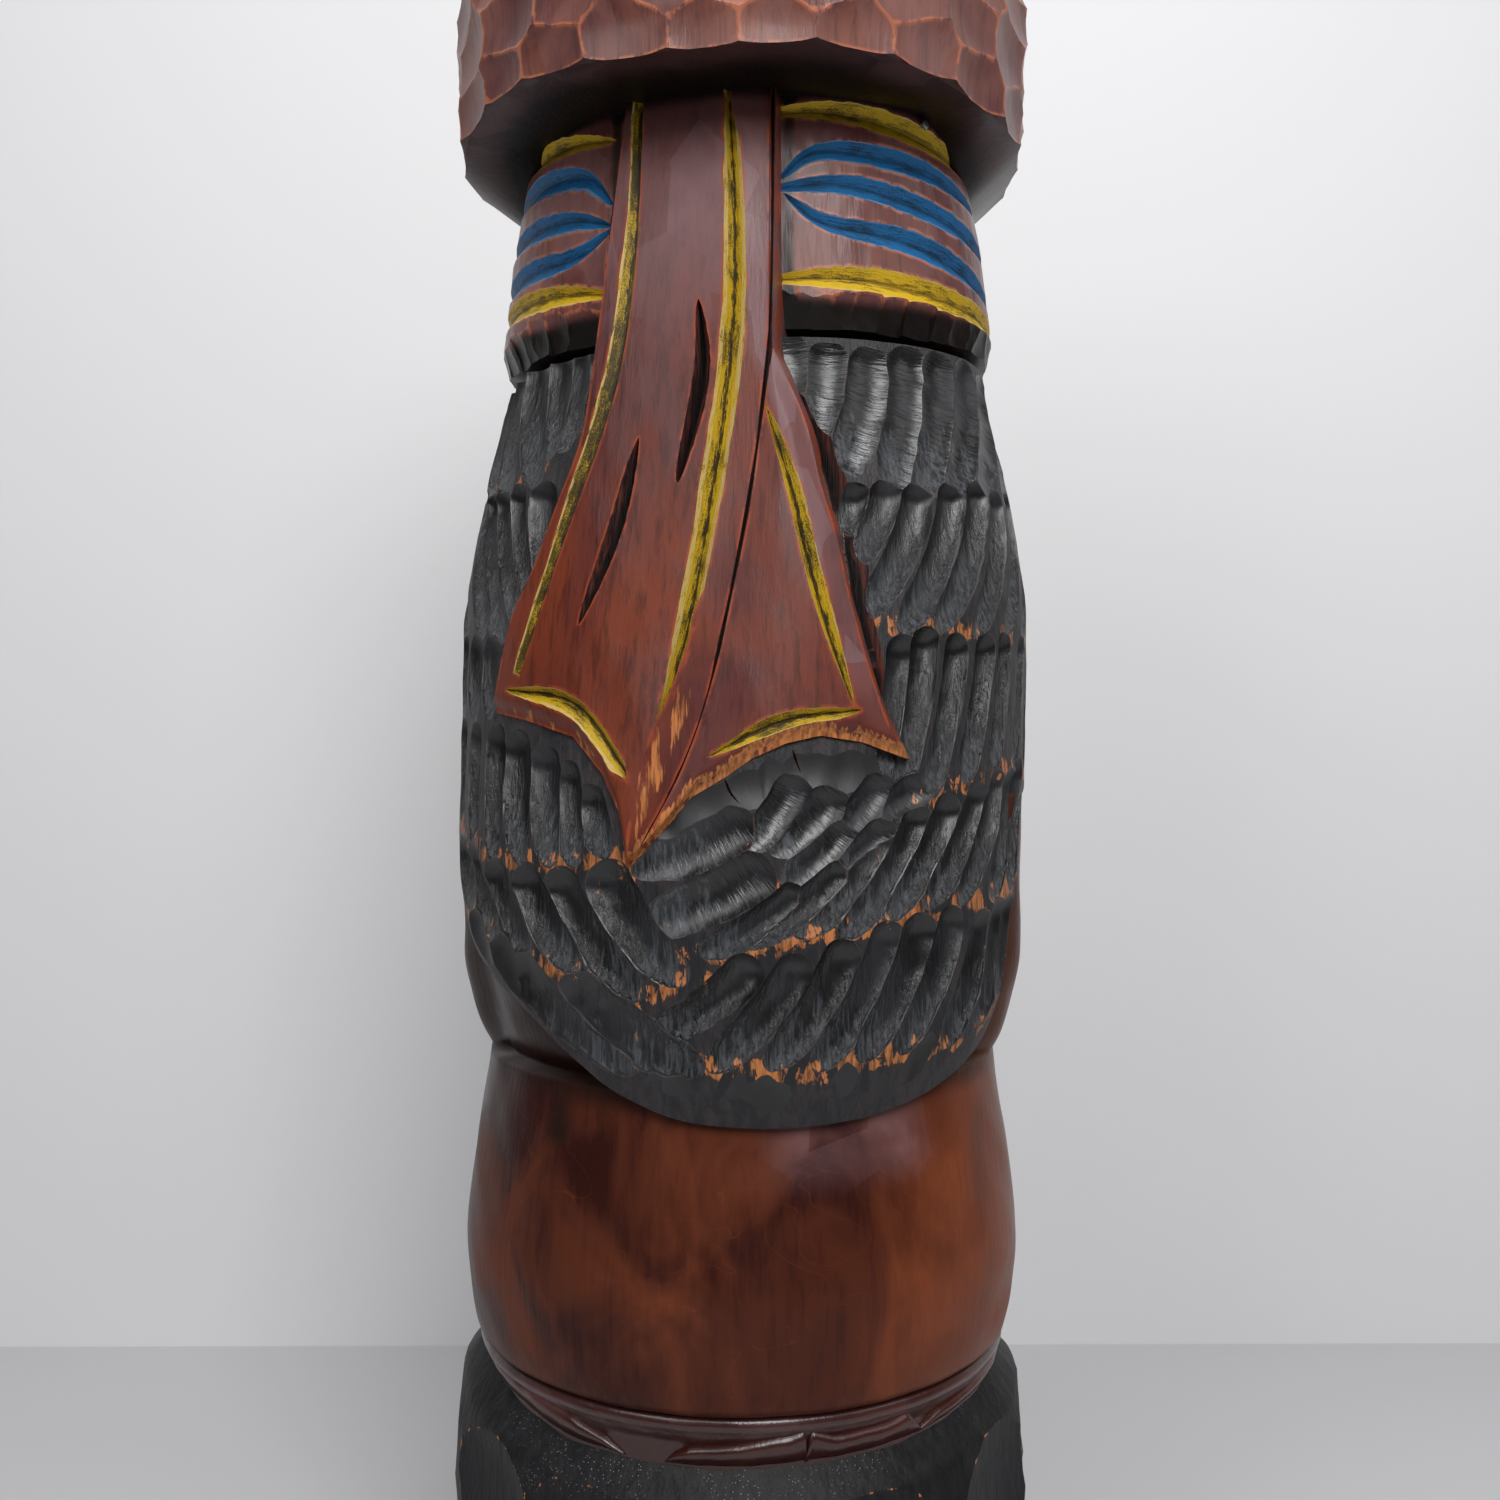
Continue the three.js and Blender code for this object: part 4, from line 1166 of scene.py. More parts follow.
def mark_bare(mesh):
    """Gives each point how bare the wood is there: the most, over all rows, of the row's own share
    times a smooth fall over the distance to the line through its strokes' lower ends."""
    points = points_of(mesh)
    angle = angle_of(points)
    bare = np.zeros(len(points))
    for row in GOUGE_ROWS:
        low = np.array(row.keys, float)[:, 2:]
        low = low[np.argsort(low[:, 0])]
        turned_angle = np.where(angle < low[0, 0] - 12, angle + 360, angle)
        inside = (turned_angle > low[0, 0] - 6) & (turned_angle < low[-1, 0] + 6)
        away = np.abs(points[:, 2] + 2 - np.interp(turned_angle, low[:, 0], low[:, 1]))
        bare = np.maximum(bare, inside * row.bare * (1 - smooth(4, 9, away)))
    marked(mesh, "bare", bare)


# ---- Eye band ----

# The band's profiles as [z, radius] at the side and in front.
EYE_SIDE = [[EYE_BAND_LOW, 131], [743, 134.5], [753, 133], [795, 128], [826, 121.5], [850, 119]]
EYE_FRONT = [[EYE_BAND_LOW, 90], [743, 94], [850, 90]]
EYE_FINE = 104.0  # the band is finely divided in front of this angle
LEDGE_FLAT = 17.0  # the size of a chisel flat on the band's ledge
# The painted lines round each eye: [angle, z] points, width, and which paint.
EYE_LINES = [
    ([[20, 836], [40, 839], [64, 835], [96, 824]], 12.5, "yellow"),
    ([[25, 803], [36, 818], [58, 819], [92, 809]], 12, "blue"),
    ([[22, 799], [42, 803], [68, 796], [99, 784]], 13, "blue"),
    ([[27, 797], [36, 785], [60, 778], [99, 760]], 13, "blue"),
    ([[20, 755], [46, 757], [70, 753], [101, 748]], 14, "yellow"),
    ([[-26, 832], [-44, 838], [-60, 840], [-84, 836]], 11, "yellow"),
    ([[-26, 799], [-38, 818], [-56, 824], [-84, 821]], 13, "blue"),
    ([[-26, 789], [-40, 797], [-60, 801], [-87, 798]], 13, "blue"),
    ([[-26, 788], [-38, 779], [-60, 779], [-89, 776]], 13, "blue"),
    ([[-24, 754], [-42, 760], [-64, 763], [-92, 761]], 12.5, "yellow"),
    # Painted shade, partly grime: this dark cut darkens the corner beside the nose's left edge.
    ([[-21, 848], [-24, 795], [-27, 736]], 8, "dark"),
]


def eye_radius(angle, z):
    """The eye band's radius: round behind and an ellipse in front, between two profiles."""
    return flattened(angle, along(EYE_SIDE, z), along(EYE_FRONT, z))


def eye_piece(scene):
    """The band behind the eyes: a turned profile, an ellipse in front, with upright chisel ticks
    as sines of the angle."""
    look = scene.totem_look
    angles = graded_angles(1.0, 3.0, EYE_FINE)
    band = np.linspace(EYE_BAND_LOW, 850, 60)
    levels = np.concatenate([[EYE_BAND_LOW - 12, EYE_BAND_LOW - 3], band])
    z = levels[:, None] + 0.0 * angles[None, :]
    a = angles[None, :] + 0.0 * z
    radius = eye_radius(a, z) + 0.25 * ripple(a * 2.3, z * 0.35, 3.2, 1.1)
    radius[0] = flattened(angles, 108, 74)
    radius[1] = flattened(angles, 112, 78)
    varnish = varnished("Face varnish", look.mauve, look.orange, look, coat=0.15)
    piece = turned("eye_band", angles, radius, z, varnish)
    bright = times_colour(1.25, look.yellow)
    paints = {
        "yellow": painted("Yellow paint, eyes", bright, (0.022, 0.014, 0.004), -0.03, 0.6),
        "blue": painted("Blue paint", tuple(look.blue), (0.004, 0.012, 0.02), -0.04, 0.5),
        "dark": dark_cut(),
    }
    cutters = []
    for number, (at, width, paint) in enumerate(EYE_LINES):
        spots = through(np.array(at, float), 30)
        path = around(spots[:, 0], eye_radius(spots[:, 0], spots[:, 1]), spots[:, 1])
        cutters.append(line_cut(path, paints[paint], number + 1, width))
    cutters += ledge_facets(varnish)
    carve(piece, cutters, 35.0)
    mark_ridges(piece)
    toned(piece, eye_tone)
    return piece


def ledge_facets(material):
    """Small uneven chisel flats round the band's lower ledge, facing a little down."""
    cutters = []
    for i in range(34):
        angle = -EYE_FINE + 6.2 * i + 2.2 * uneven(i + 3)
        z = 741 + 3.5 * uneven(i + 8)
        out = leaning(angle + 9 * uneven(i + 5), math.radians(-16 + 16 * uneven(i + 21)))
        point = around(angle, eye_radius(angle, z) - 0.8, z)
        width = SCOOP_SPREAD * (LEDGE_FLAT + 6 * uneven(i + 40))
        height = SCOOP_SPREAD * LEDGE_FLAT
        cutters.append(lens(point, out, width, height, 0.5, material, LEDGE_MARKS + i))
    return cutters


def eye_tone(points):
    """Painted shade along the lower ledge, under the cap and in the corners beside the nose, where
    it is partly soiling, and a painted sheen over the whole band.
    """
    z = points[:, 2]
    beside = np.minimum(np.abs(points[:, 0] - 46), np.abs(points[:, 0] + 41))
    return {
        "worn": 0.35,
        # Painted sheen over the whole band.
        "pale": 0.7,
        # Painted shade along the ledge, under the cap and in the corners beside the nose.
        "shade": 0.95 * smooth(752, 742, z)
        + 0.8 * smooth(838, 846, z)
        + 0.7 * smooth(5, 1, beside),
    }


# ---- Nose ----

# Its outline and its two long lines as [z, x], from the tip up to the cap.
NOSE_LEFT = [[NOSE_TIP, -100], [548, -94], [566, -91], [593, -84], [615, -72], [644, -60],
             [668, -50], [687, -45], [724, -41.5], [843, -32]]
NOSE_RIDGE = [[NOSE_TIP, -11], [517, -7], [563, 9], [605, 17.5], [648, 23], [704, 29], [734, 29],
              [780, 24], [843, 22]]
NOSE_GROOVE = [[NOSE_TIP, -11], [498, 0.5], [524, 13], [558, 24], [616, 33.5], [664, 40],
               [719, 42.5], [843, 38.5]]
NOSE_RIGHT = [[NOSE_TIP, 122], [526, 106], [548, 96.5], [590, 84], [632, 74], [653, 67.5],
              [679, 61], [708, 49], [719, 44.5], [843, 42]]
# The lower edge as [column, z]: columns 0 to 3 are the left outline, ridge, groove and right
# outline.
NOSE_LOW = [[0, 548], [0.23, 544], [0.55, 536], [0.78, 519], [0.91, 502], [1, NOSE_TIP],
            [2, NOSE_TIP], [2.09, 509], [2.18, 516], [2.3, 526], [2.46, 533], [2.63, 536.5],
            [2.83, 533.5], [3, 526]]
# The half axes of the ellipse that is the nose's front, as [z, length].
NOSE_FRONT = [[NOSE_TIP, 158], [843, 99]]
NOSE_SIDE = [[NOSE_TIP, 155], [843, 150]]
NOSE_TOP = 846
# How far the front stands out at each column, and a column where it doesn't.
RIDGE_RISE = [[0, 0], [0.7, 0.5], [1, 3], [2, -2], [2.4, 0], [3, 0]]
EVEN_COLUMN = 2.4
# The lines cut in the nose: [x, z] points, width, depth, blunt share and which finish.
NOSE_LINES = [
    ([[-25.5, 850], [-26, 760], [-31.5, 708], [-56, 629], [-78, 566]],
     8.5, LINE_DEPTH, 0.7, "dirty"),
    ([[18, 872], [26.5, 725], [20, 648], [7, 563.5], [-7, 517]], 8, LINE_DEPTH, 0, "yellow"),
    ([[42, 692], [55.5, 653], [68, 605], [85, 550]], 8, LINE_DEPTH, 0, "yellow"),
    ([[88, 548], [57, 543], [22, 526]], 9, LINE_DEPTH, 0, "yellow"),
    ([[-85, 559], [-46.5, 552], [-9, 514]], 9, LINE_DEPTH, 0, "yellow"),
    # Painted shade: this dark cut darkens the crease between the ridge and the right wing.
    ([[41, 846], [43.5, 719], [33.5, 616], [13, 524], [-11, 476]], 4, 3, 0.7, "dark"),
    ([[10, 740], [13, 712], [4.5, 652]], 7, 6, 0, "dark"),
    ([[-16, 675], [-26, 630], [-42, 588]], 8, 6, 0, "dark"),
]


def nose_front(x, z, column):
    """The nose's front at x and z: an ellipse about the pole's axis, with a rise for the ridge."""
    side = along(NOSE_SIDE, z)
    bow = along(NOSE_FRONT, z) * np.sqrt(np.maximum(1 - (x / side) ** 2, 0.01))
    return bow + along(RIDGE_RISE, column)


def nose_x(column, z):
    """Where a column of the nose lies across at each height: straight lines between its four
    upright curves."""
    lines = np.stack([curve(line, z) for line in (NOSE_LEFT, NOSE_RIDGE, NOSE_GROOVE, NOSE_RIGHT)])
    first = np.minimum(np.floor(column).astype(int), 2)
    one = np.take_along_axis(lines, first[None, ...], axis=0)[0]
    other = np.take_along_axis(lines, first[None, ...] + 1, axis=0)[0]
    return mix(one, other, column - first)


def nose_piece(scene):
    """The nose: a slab between four lines, its front an ellipse about the axis with a ridge, and
    its lower and right-hand edges bevelled with knife marks."""
    look = scene.totem_look
    columns = np.concatenate([
        np.linspace(0, 1, 40, endpoint=False),
        np.linspace(1, 2, 14, endpoint=False),
        np.linspace(2, 3, 34),
    ])
    share = np.concatenate([np.linspace(0, 0.045, 8, endpoint=False), np.linspace(0.045, 1, 110)])
    column = columns[None, :] + 0.0 * share[:, None]
    low = along(NOSE_LOW, column)
    z = mix(low, NOSE_TOP, share[:, None])
    x = nose_x(column, z)
    above = z - low
    knife = 0.5 * ripple(x, z * 0.12, 2.2, 0.9)
    bevel = (5.0 + knife) * (1 - smooth(0, 9.5, above))
    inside = np.abs(curve(NOSE_RIGHT, z) - x)
    bevel = bevel + 3.0 * (1 - smooth(0, 8, inside)) * smooth(526, 560, z) * smooth(720, 690, z)
    waves = 0.35 * ripple(x, z * 0.6, 13.0, 1.9)
    front = nose_front(x, z, column) - bevel + waves
    outer = np.stack([x, -front, z], axis=-1)
    inner = np.stack([x, np.full_like(x, -55.0), z], axis=-1)
    flat = np.stack([x, z], axis=-1)
    varnish = varnished("Nose varnish", look.mauve, look.nose_red, look, coat=0.04)
    piece = slab("nose", inner, outer, varnish, flat)
    finishes = {
        "yellow": painted("Yellow paint, nose", tuple(look.yellow), (0.022, 0.014, 0.004)),
        "dirty": painted("Dirty yellow", tuple(look.yellow), (0.022, 0.014, 0.004), 0.09),
        "dark": dark_cut(),
    }
    cutters = []
    for number, (at, width, depth, blunt, finish) in enumerate(NOSE_LINES):
        spots = through(np.array(at, float), 24)
        across, level = spots.T
        path = np.stack([across, -nose_front(across, level, EVEN_COLUMN), level], axis=-1)
        cutters.append(line_cut(path, finishes[finish], number + 1, width, depth, blunt))
    carve(piece, cutters, 35.0)
    mark_ridges(piece)
    toned(piece, nose_tone)
    return piece


def nose_bare(points):
    """1 on the bevel along the lower edge, and part of that round the tip."""
    x, z = points[:, 0], points[:, 2]
    edge_x = nose_edge()
    low = np.interp(x, edge_x[:, 0], edge_x[:, 1])
    near_tip = 1 - smooth(0, 26, np.hypot(x + 11, z - NOSE_TIP))
    along_edge = 0.25 + 0.65 * smooth(-40, 10, x)
    return np.maximum(along_edge * (1 - smooth(4, 10, z - low)), 0.6 * near_tip)


def nose_edge():
    """The nose's lower edge as [x, z] points from left to right."""
    columns = np.linspace(0, 3, 120)
    low = along(NOSE_LOW, columns)
    x = nose_x(columns[None, :], low[None, :])[0]
    return np.stack([x, low], axis=-1)


def nose_tone(points):
    """Worn towards the tip and the lower left, stripped along the ridge near the tip, with a
    painted mauve sheen high up and along the right-hand edge, and painted shade under the cap and
    on the side walls set back from the front."""
    x, y, z = points.T
    ridge = curve(NOSE_RIDGE, z)
    groove = curve(NOSE_GROOVE, z)
    strip = smooth(-1, 2, x - ridge) * smooth(1, -2, x - mix(ridge, groove, 0.7))
    right_edge = smooth(15, 8, curve(NOSE_RIGHT, z) - x) * smooth(540, 570, z)
    return {
        "worn": 0.15
        + 0.75 * smooth(690, 560, z) * smooth(20, -20, x - ridge)
        + 0.12 * smooth(640, 560, z),
        # Painted sheen high up and along the right-hand bevel.
        "pale": np.maximum(smooth(690, 790, z), right_edge),
        # Painted shade under the cap and on the side walls set back from the front.
        "shade": 0.9 * smooth(832, 846, z) + smooth(-96, -84, y),
        "bare": np.maximum(nose_bare(points), 0.5 * strip * smooth(620, 510, z)),
    }


# ---- Cap ----

# The cap's outline as [radius, z], from the rim to the top.
CAP_SIDES = [[CAP_RADIUS, CAP_RIM + 10], [CAP_RADIUS, 905], [146, 926], [137, 946], [118, 963],
             [88, 975]]
# Rings of adze scoops: z, radius, tilt, count and height.
CAP_ROWS = [
    (852, 149, -6, 25, 25),
    (876, 150.5, -1, 23, 27),
    (901, 150.5, 4, 24, 27),
    (924, 146.5, 16, 22, 27),
    (944, 137.5, 36, 20, 27),
    (959, 121, 48, 17, 27),
    (970, 99, 60, 13, 28),
    (978, 72, 72, 9, 30),
    (983, 38, 80, 5, 36),
]


def under_cap(angle):
    """Where the cap's underside meets the head: flat over the face, lower at the sides."""
    from_middle = np.abs(np.mod(angle - 4 + 180, 360) - 180)
    return mix(845, 817, smooth(60, 92, from_middle))


def cap_piece(scene):
    """The cap: a turned blank, cut all over by rings of adze scoops and one on the crown."""
    look = scene.totem_look
    angles = np.arange(0, 360, 2.0)
    a = np.mod(angles + 180, 360) - 180
    rim = CAP_RIM + 5 * np.sin(3.1 * np.radians(a)) * np.sin(2 * np.radians(a))
    under = np.linspace(0, 1, 9)
    sides = np.array(CAP_SIDES)
    run = np.arange(len(sides))
    steps = np.linspace(0, len(sides) - 1, 36)
    side_radius = np.interp(steps, run, sides[:, 0]) + BLANK_SPARE
    side_z = np.interp(steps, run, sides[:, 1])
    side_z = side_z + 0.03 * (side_z - CAP_RIM)
    inner = flattened(a, 117, 86)
    radius = np.concatenate([
        mix(inner[None, :], 148, under[:, None]),
        (CAP_RADIUS + BLANK_SPARE) + 0.0 * a[None, :],
        side_radius[:, None] + 0.0 * a[None, :],
    ])
    z = np.concatenate([
        mix(under_cap(a)[None, :], rim[None, :], under[:, None]),
        rim[None, :] + 4,
        side_z[:, None] + 0.0 * a[None, :],
    ])
    tops = np.array([[60.0], [4.0]]) + 0.0 * a[None, :]
    radius = np.concatenate([radius, tops])
    z = np.concatenate([np.minimum(z, POLE_HEIGHT - 1), np.full_like(tops, POLE_HEIGHT)])
    # Painted shade: the underside's near-black colour stands for the shade under the cap's
    # overhang.
    underside = varnished("Cap underside", look.underside, look.belly, look)
    piece = turned("cap", angles, radius, z, underside)
    scooped = varnished("Cap varnish", look.mauve, look.orange, look, coat=0.2)
    depth = scene.totem_sizes.adze_depth / MM
    cutters = []
    for number, row in enumerate(CAP_ROWS):
        cutters += adze_ring(*row, number + 1, depth, scooped)
    crown = np.array([0.0, 0.0, POLE_HEIGHT])
    up = np.array([0.0, 0.0, 1.0])
    cutters.append(lens(crown, up, 60, 60, 0.6, scooped, CROWN_MARK))
    carve(piece, cutters, 30.0)
    mark_ridges(piece)
    toned(piece, cap_tone)
    return piece


def cap_tone(points):
    """Painted shade on the underside, deepest next to the head, and painted sheen all over."""
    out = np.hypot(points[:, 0], points[:, 1])
    return {
        "worn": 0.35,
        # Painted sheen all over, and painted shade on the underside.
        "pale": 0.45,
        "shade": 0.85 * smooth(149, 118, out) * (points[:, 2] < 850),
    }


# ---- Belt ----

# The drum's shoulder climbs at the sides, so the belt narrows there.
BELT_LOW = [[-180, 214], [-100, 220], [-66, 226], [-45, 216], [-23, 208], [10, 206], [47, 208],
            [70, 212], [94, 217], [140, 214], [180, 214]]
# Each strand's upper edge as [angle, z]; it ends in a point where that meets the lower edge.
BELT_STRANDS = [
    [[-118, 221], [-100, 227], [-66, 229], [-45, 227], [-32, 225], [-20, 220], [-13, 214],
     [-8, 207]],
    [[0, 207], [2, 212], [5, 215.5], [15, 218], [24, 221.5], [27, 224], [27.6, 208]],
    [[27, 208], [28, 223], [33, 219], [44, 219.5], [49, 222], [53, 212]],
    [[52, 210], [58, 217], [74, 221], [120, 222], [180, 224], [236, 221]],
]


def strand(number, edge, material):
    """One fold of the belt: from its upper edge down to the drum it swells with a half ellipse
    whose highest place is near the top."""
    first, last = edge[0][0], edge[-1][0]
    angle = np.linspace(first, last, int((last - first) / 0.9) + 12)[None, :]
    share = np.linspace(0, 1, 17)[:, None]
    low = along(BELT_LOW, np.mod(angle + 180, 360) - 180) - 1.0
    high = np.maximum(along(edge, angle), low + 0.6)
    z = mix(low, high, share)
    bow = np.sqrt(np.maximum(1 - (2 * share**1.7 - 1) ** 2, 0))
    rise = 5.5 * np.minimum(1, np.sqrt((high - low) / 12))
    radius = 134 + rise * bow + 0.25 * ripple(angle * 2.4, z, 6.0, number + 0.5)
    outer = around(angle + 0 * z, radius, z)
    inner = around(angle + 0 * z, 110.0 + 0 * z, z)
    return slab(f"belt_strand_{number + 1}", inner, outer, material)


def belt_tone(points):
    """Worn a little at the right, with a painted highlight on the upper band and painted shade in
    the groove against the belly.
    """
    z = points[:, 2]
    return {
        "worn": 0.2 + 0.5 * smooth(20, 70, angle_of(points)),
        "pale": 0.25 * smooth(216, 222, z),
        # Painted highlight on the upper band, and painted shade in the groove under the belly.
        "shade": 0.4 * smooth(225, 229, z),
    }


def belt_pieces(scene):
    """The belt's upper roll, a turned profile, and its rounded strands below."""
    look = scene.totem_look
    red = varnished(
        "Belt varnish", look.belt, look.belt_worn, look, cloudy=0.3, streaky=0.3, coat=0.8,
    )
    angles = graded_angles(1.5, 2.5)
    profile = [[BELT_TOP - 40, 135.5], [BELT_TOP - 16, 135.5], [BELT_TOP - 9, 138],
               [BELT_TOP - 5, 139.5], [BELT_TOP - 2, 138.4], [BELT_TOP - 1, 136.5]]
    levels = np.concatenate([[150, 190], np.linspace(212, BELT_TOP - 1, 20)])
    z = levels[:, None] + 0.0 * angles[None, :]
    radius = curve(profile, z) + 0.2 * ripple(angles[None, :] * 2.4, z, 7.0, 3.3)
    radius[0] = 60
    upper = turned("belt_roll", angles, radius, z, red)
    strands = [strand(i, edge, red) for i, edge in enumerate(BELT_STRANDS)]
    for piece in (upper, *strands):
        toned(piece, belt_tone)
    return [upper, *strands]


# ---- Drum and base ----

DRUM_SEED = 11  # the first ring's seed; the cap's rings have the seeds from 1
# Rings of adze scoops, as on the cap.
DRUM_ROWS = [
    (172, 149, 5, 13, 52),
    (120, 149.5, 0, 12, 56),
    (70, 149, -4, 13, 52),
]


def drum_piece(scene):
    """The drum: a turned blank with a slanted shoulder, cut by three rings of adze scoops."""
    angles = np.arange(0, 360, 2.0)
    shoulder = along(BELT_LOW, np.mod(angles + 180, 360) - 180)
    straight = LOG_RADIUS + BLANK_SPARE
    levels = np.linspace(BASE_HEIGHT + 9, 168, 26)
    up = np.linspace(0, 1, 7)[1:]
    bend = LOG_RADIUS - 3
    lines = [
        (LOG_RADIUS - 5, BASE_HEIGHT - 10 + 0 * shoulder),
        (LOG_RADIUS - 5, BASE_HEIGHT + 2 + 0 * shoulder),
        *[(straight, level + 0 * shoulder) for level in levels],
        *[(mix(straight, bend, t), mix(shoulder - 38, shoulder - 15, t)) for t in up],
        *[(mix(bend, 133.5, t), mix(shoulder - 15, shoulder + 1, t)) for t in up],
        (100, shoulder - 30),
    ]
    radius = np.stack([reach + 0.0 * angles for reach, _ in lines])
    z = np.stack([level for _, level in lines])
    radius = radius + 0.4 * ripple(angles[None, :] * 2.5, z, 9.0, 5.1)
    stain = dusty_black(scene.totem_look)
    piece = turned("drum", angles, radius, z, stain)
    depth = 1.4 * scene.totem_sizes.adze_depth / MM
    cutters = []
    for number, row in enumerate(DRUM_ROWS):
        cutters += adze_ring(*row, number + DRUM_SEED, depth, stain)
    carve(piece, cutters, 30.0)
    mark_ridges(piece)
    points = points_of(piece.data)
    below_belt = points[:, 2] - along(BELT_LOW, angle_of(points))
    marked(piece.data, "dusty", smooth(-40, -18, below_belt))
    return piece


def base_piece(scene):
    """The foot: a low round turned block with eased edges."""
    angles = np.arange(0, 360, 2.5)
    profile = np.array([
        [BASE_RADIUS - 2, 0], [BASE_RADIUS, 3], [BASE_RADIUS, 20], [BASE_RADIUS, BASE_HEIGHT - 8],
        [BASE_RADIUS - 1, BASE_HEIGHT - 4], [BASE_RADIUS - 8, BASE_HEIGHT], [120, BASE_HEIGHT],
    ])
    z = profile[:, 1:2] + 0.0 * angles[None, :]
    radius = profile[:, 0:1] + 0.0 * angles[None, :]
    piece = turned("foot", angles, radius, z, dusty_black(scene.totem_look))
    numbered(piece.data, 0)
    crisp(piece.data, 30.0)
    mark_ridges(piece)
    return piece


# ---- Settings ----


def length(name, description, default, low, high):
    """A setting in metres."""
    return bpy.props.FloatProperty(
        name=name, description=description, default=default, min=low, max=high,
        subtype="DISTANCE", unit="LENGTH", precision=4,
    )


def times(name, description):
    """A setting that multiplies a size."""
    return bpy.props.FloatProperty(
        name=name, description=description, default=1.0, min=0.5, max=1.5, subtype="FACTOR",
    )


def colour(name, description, default):
    """A setting for a colour."""
    return bpy.props.FloatVectorProperty(
        name=name, description=description, default=default, size=3, min=0.0, max=1.0,
        subtype="COLOR",
    )


class TotemSizes(bpy.types.PropertyGroup):
    """Sizes of the tool marks."""

    gouge_width: times("Gouge width", "Scales the width of the beard's gouge strokes")
    gouge_depth: times("Gouge depth", "Scales the depth of the beard's gouge strokes")
    adze_depth: length("Adze hollow", "How hollow each adze cut is", 0.0016, 0.0, 0.003)


class TotemLook(bpy.types.PropertyGroup):
    """Colours of the varnish, stain and paint."""

    mauve: colour("Mauve varnish", "Deep varnish on the cap and face", (0.095, 0.024, 0.020))
    nose_red: colour("Nose red", "Worn varnish on the nose", (0.165, 0.030, 0.011))
    orange: colour("Worn varnish", "Where varnish has worn towards the wood", (0.22, 0.070, 0.036))
    # The colour of the painted sheen: light mirrored off the varnish, painted in.
    sheen: colour("Mauve bloom", "Cool bloom in the varnish", (0.19, 0.105, 0.112))
    belly: colour("Belly varnish", "Deep varnish on the belly", (0.030, 0.0065, 0.0045))
    belly_worn: colour("Belly worn", "Where the belly's varnish is thin", (0.19, 0.046, 0.016))
    # Painted shade: near black for the shade under the cap.
    underside: colour("Cap underside", "Dark wood under the cap", (0.018, 0.008, 0.006))
    bare: colour("Bare wood", "Wood that shows through", (0.47, 0.165, 0.05))
    yellow: colour("Yellow paint", "Lines on the nose and round the eyes", (0.50, 0.32, 0.008))
    blue: colour("Blue paint", "Lines across the eyes", (0.008, 0.115, 0.29))
    black: colour("Black stain", "Beard and drum", (0.0045, 0.0046, 0.0052))
    black_bloom: colour("Black bloom", "Greyer patches in the stain", (0.0115, 0.012, 0.014))
    # Torn fibres, whose blue-grey is partly painted glints.
    fibre_and_glint: colour("Torn fibre", "Blue-grey torn fibres in the stain", (0.07, 0.074, 0.084))
    belt: colour("Belt varnish", "Dark red of the belt", (0.030, 0.005, 0.003))
    belt_worn: colour("Belt worn", "Lighter red of the belt", (0.065, 0.012, 0.006))
    # How strongly the painted sheen shows.
    bloom: bpy.props.FloatProperty(
        name="Bloom", description="How strongly the cool bloom shows",
        default=0.75, min=0.0, max=1.0, subtype="FACTOR",
    )
    wood_gloss: bpy.props.FloatProperty(
        name="Varnish roughness", description="Roughness of the varnish under its coat",
        default=0.36, min=0.1, max=1.0, subtype="FACTOR",
    )


# ---- Operators ----


class Carver:
    """What every operator of the pole shares: it builds its pieces and sets them on the body."""

    bl_options = {"REGISTER"}
    pieces = ()

    def execute(self, context):
        """Builds and finishes every piece; whatever fails raises an error."""
        for build in self.pieces:
            made = build(context.scene)
            for piece in made if isinstance(made, list) else [made]:
                finished(piece)
        return {"FINISHED"}


class TOTEM_OT_belly(Carver, bpy.types.Operator):
    """Make the belly and the back of the head"""

    bl_idname = "totem.belly"
    bl_label = "Belly"
    pieces = (belly_piece,)


class TOTEM_OT_beard(Carver, bpy.types.Operator):
    """Make the hair and the beard with their gouge strokes"""

    bl_idname = "totem.beard"
    bl_label = "Beard"
    pieces = (beard_piece,)


class TOTEM_OT_face(Carver, bpy.types.Operator):
    """Make the eye band and the nose with their painted lines"""

    bl_idname = "totem.face"
    bl_label = "Face"
    pieces = (eye_piece, nose_piece)


class TOTEM_OT_cap(Carver, bpy.types.Operator):
    """Make the adzed cap"""

    bl_idname = "totem.cap"
    bl_label = "Cap"
    pieces = (cap_piece,)


class TOTEM_OT_belt(Carver, bpy.types.Operator):
    """Make the belt's roll and strands"""

    bl_idname = "totem.belt"
    bl_label = "Belt"
    pieces = (belt_pieces,)


class TOTEM_OT_drum(Carver, bpy.types.Operator):
    """Make the drum and its foot"""

    bl_idname = "totem.drum"
    bl_label = "Drum and Foot"
    pieces = (drum_piece, base_piece)


class TOTEM_OT_nail(bpy.types.Operator):
    """Give the nail its steel"""

    bl_idname = "totem.nail"
    bl_label = "Nail"

    def execute(self, context):
        """Puts the steel on the nail that the frame holds."""
        nail = frame["nodes"]["nail"]
        nail.data.materials.clear()
        nail.data.materials.append(steel())
        return {"FINISHED"}


class TOTEM_OT_stage(bpy.types.Operator):
    """Set up the floor, wall, lights and camera"""

    bl_idname = "totem.stage"
    bl_label = "Stage"

    def execute(self, context):
        """Builds the stage in the scene."""
        build_stage(context.scene)
        return {"FINISHED"}


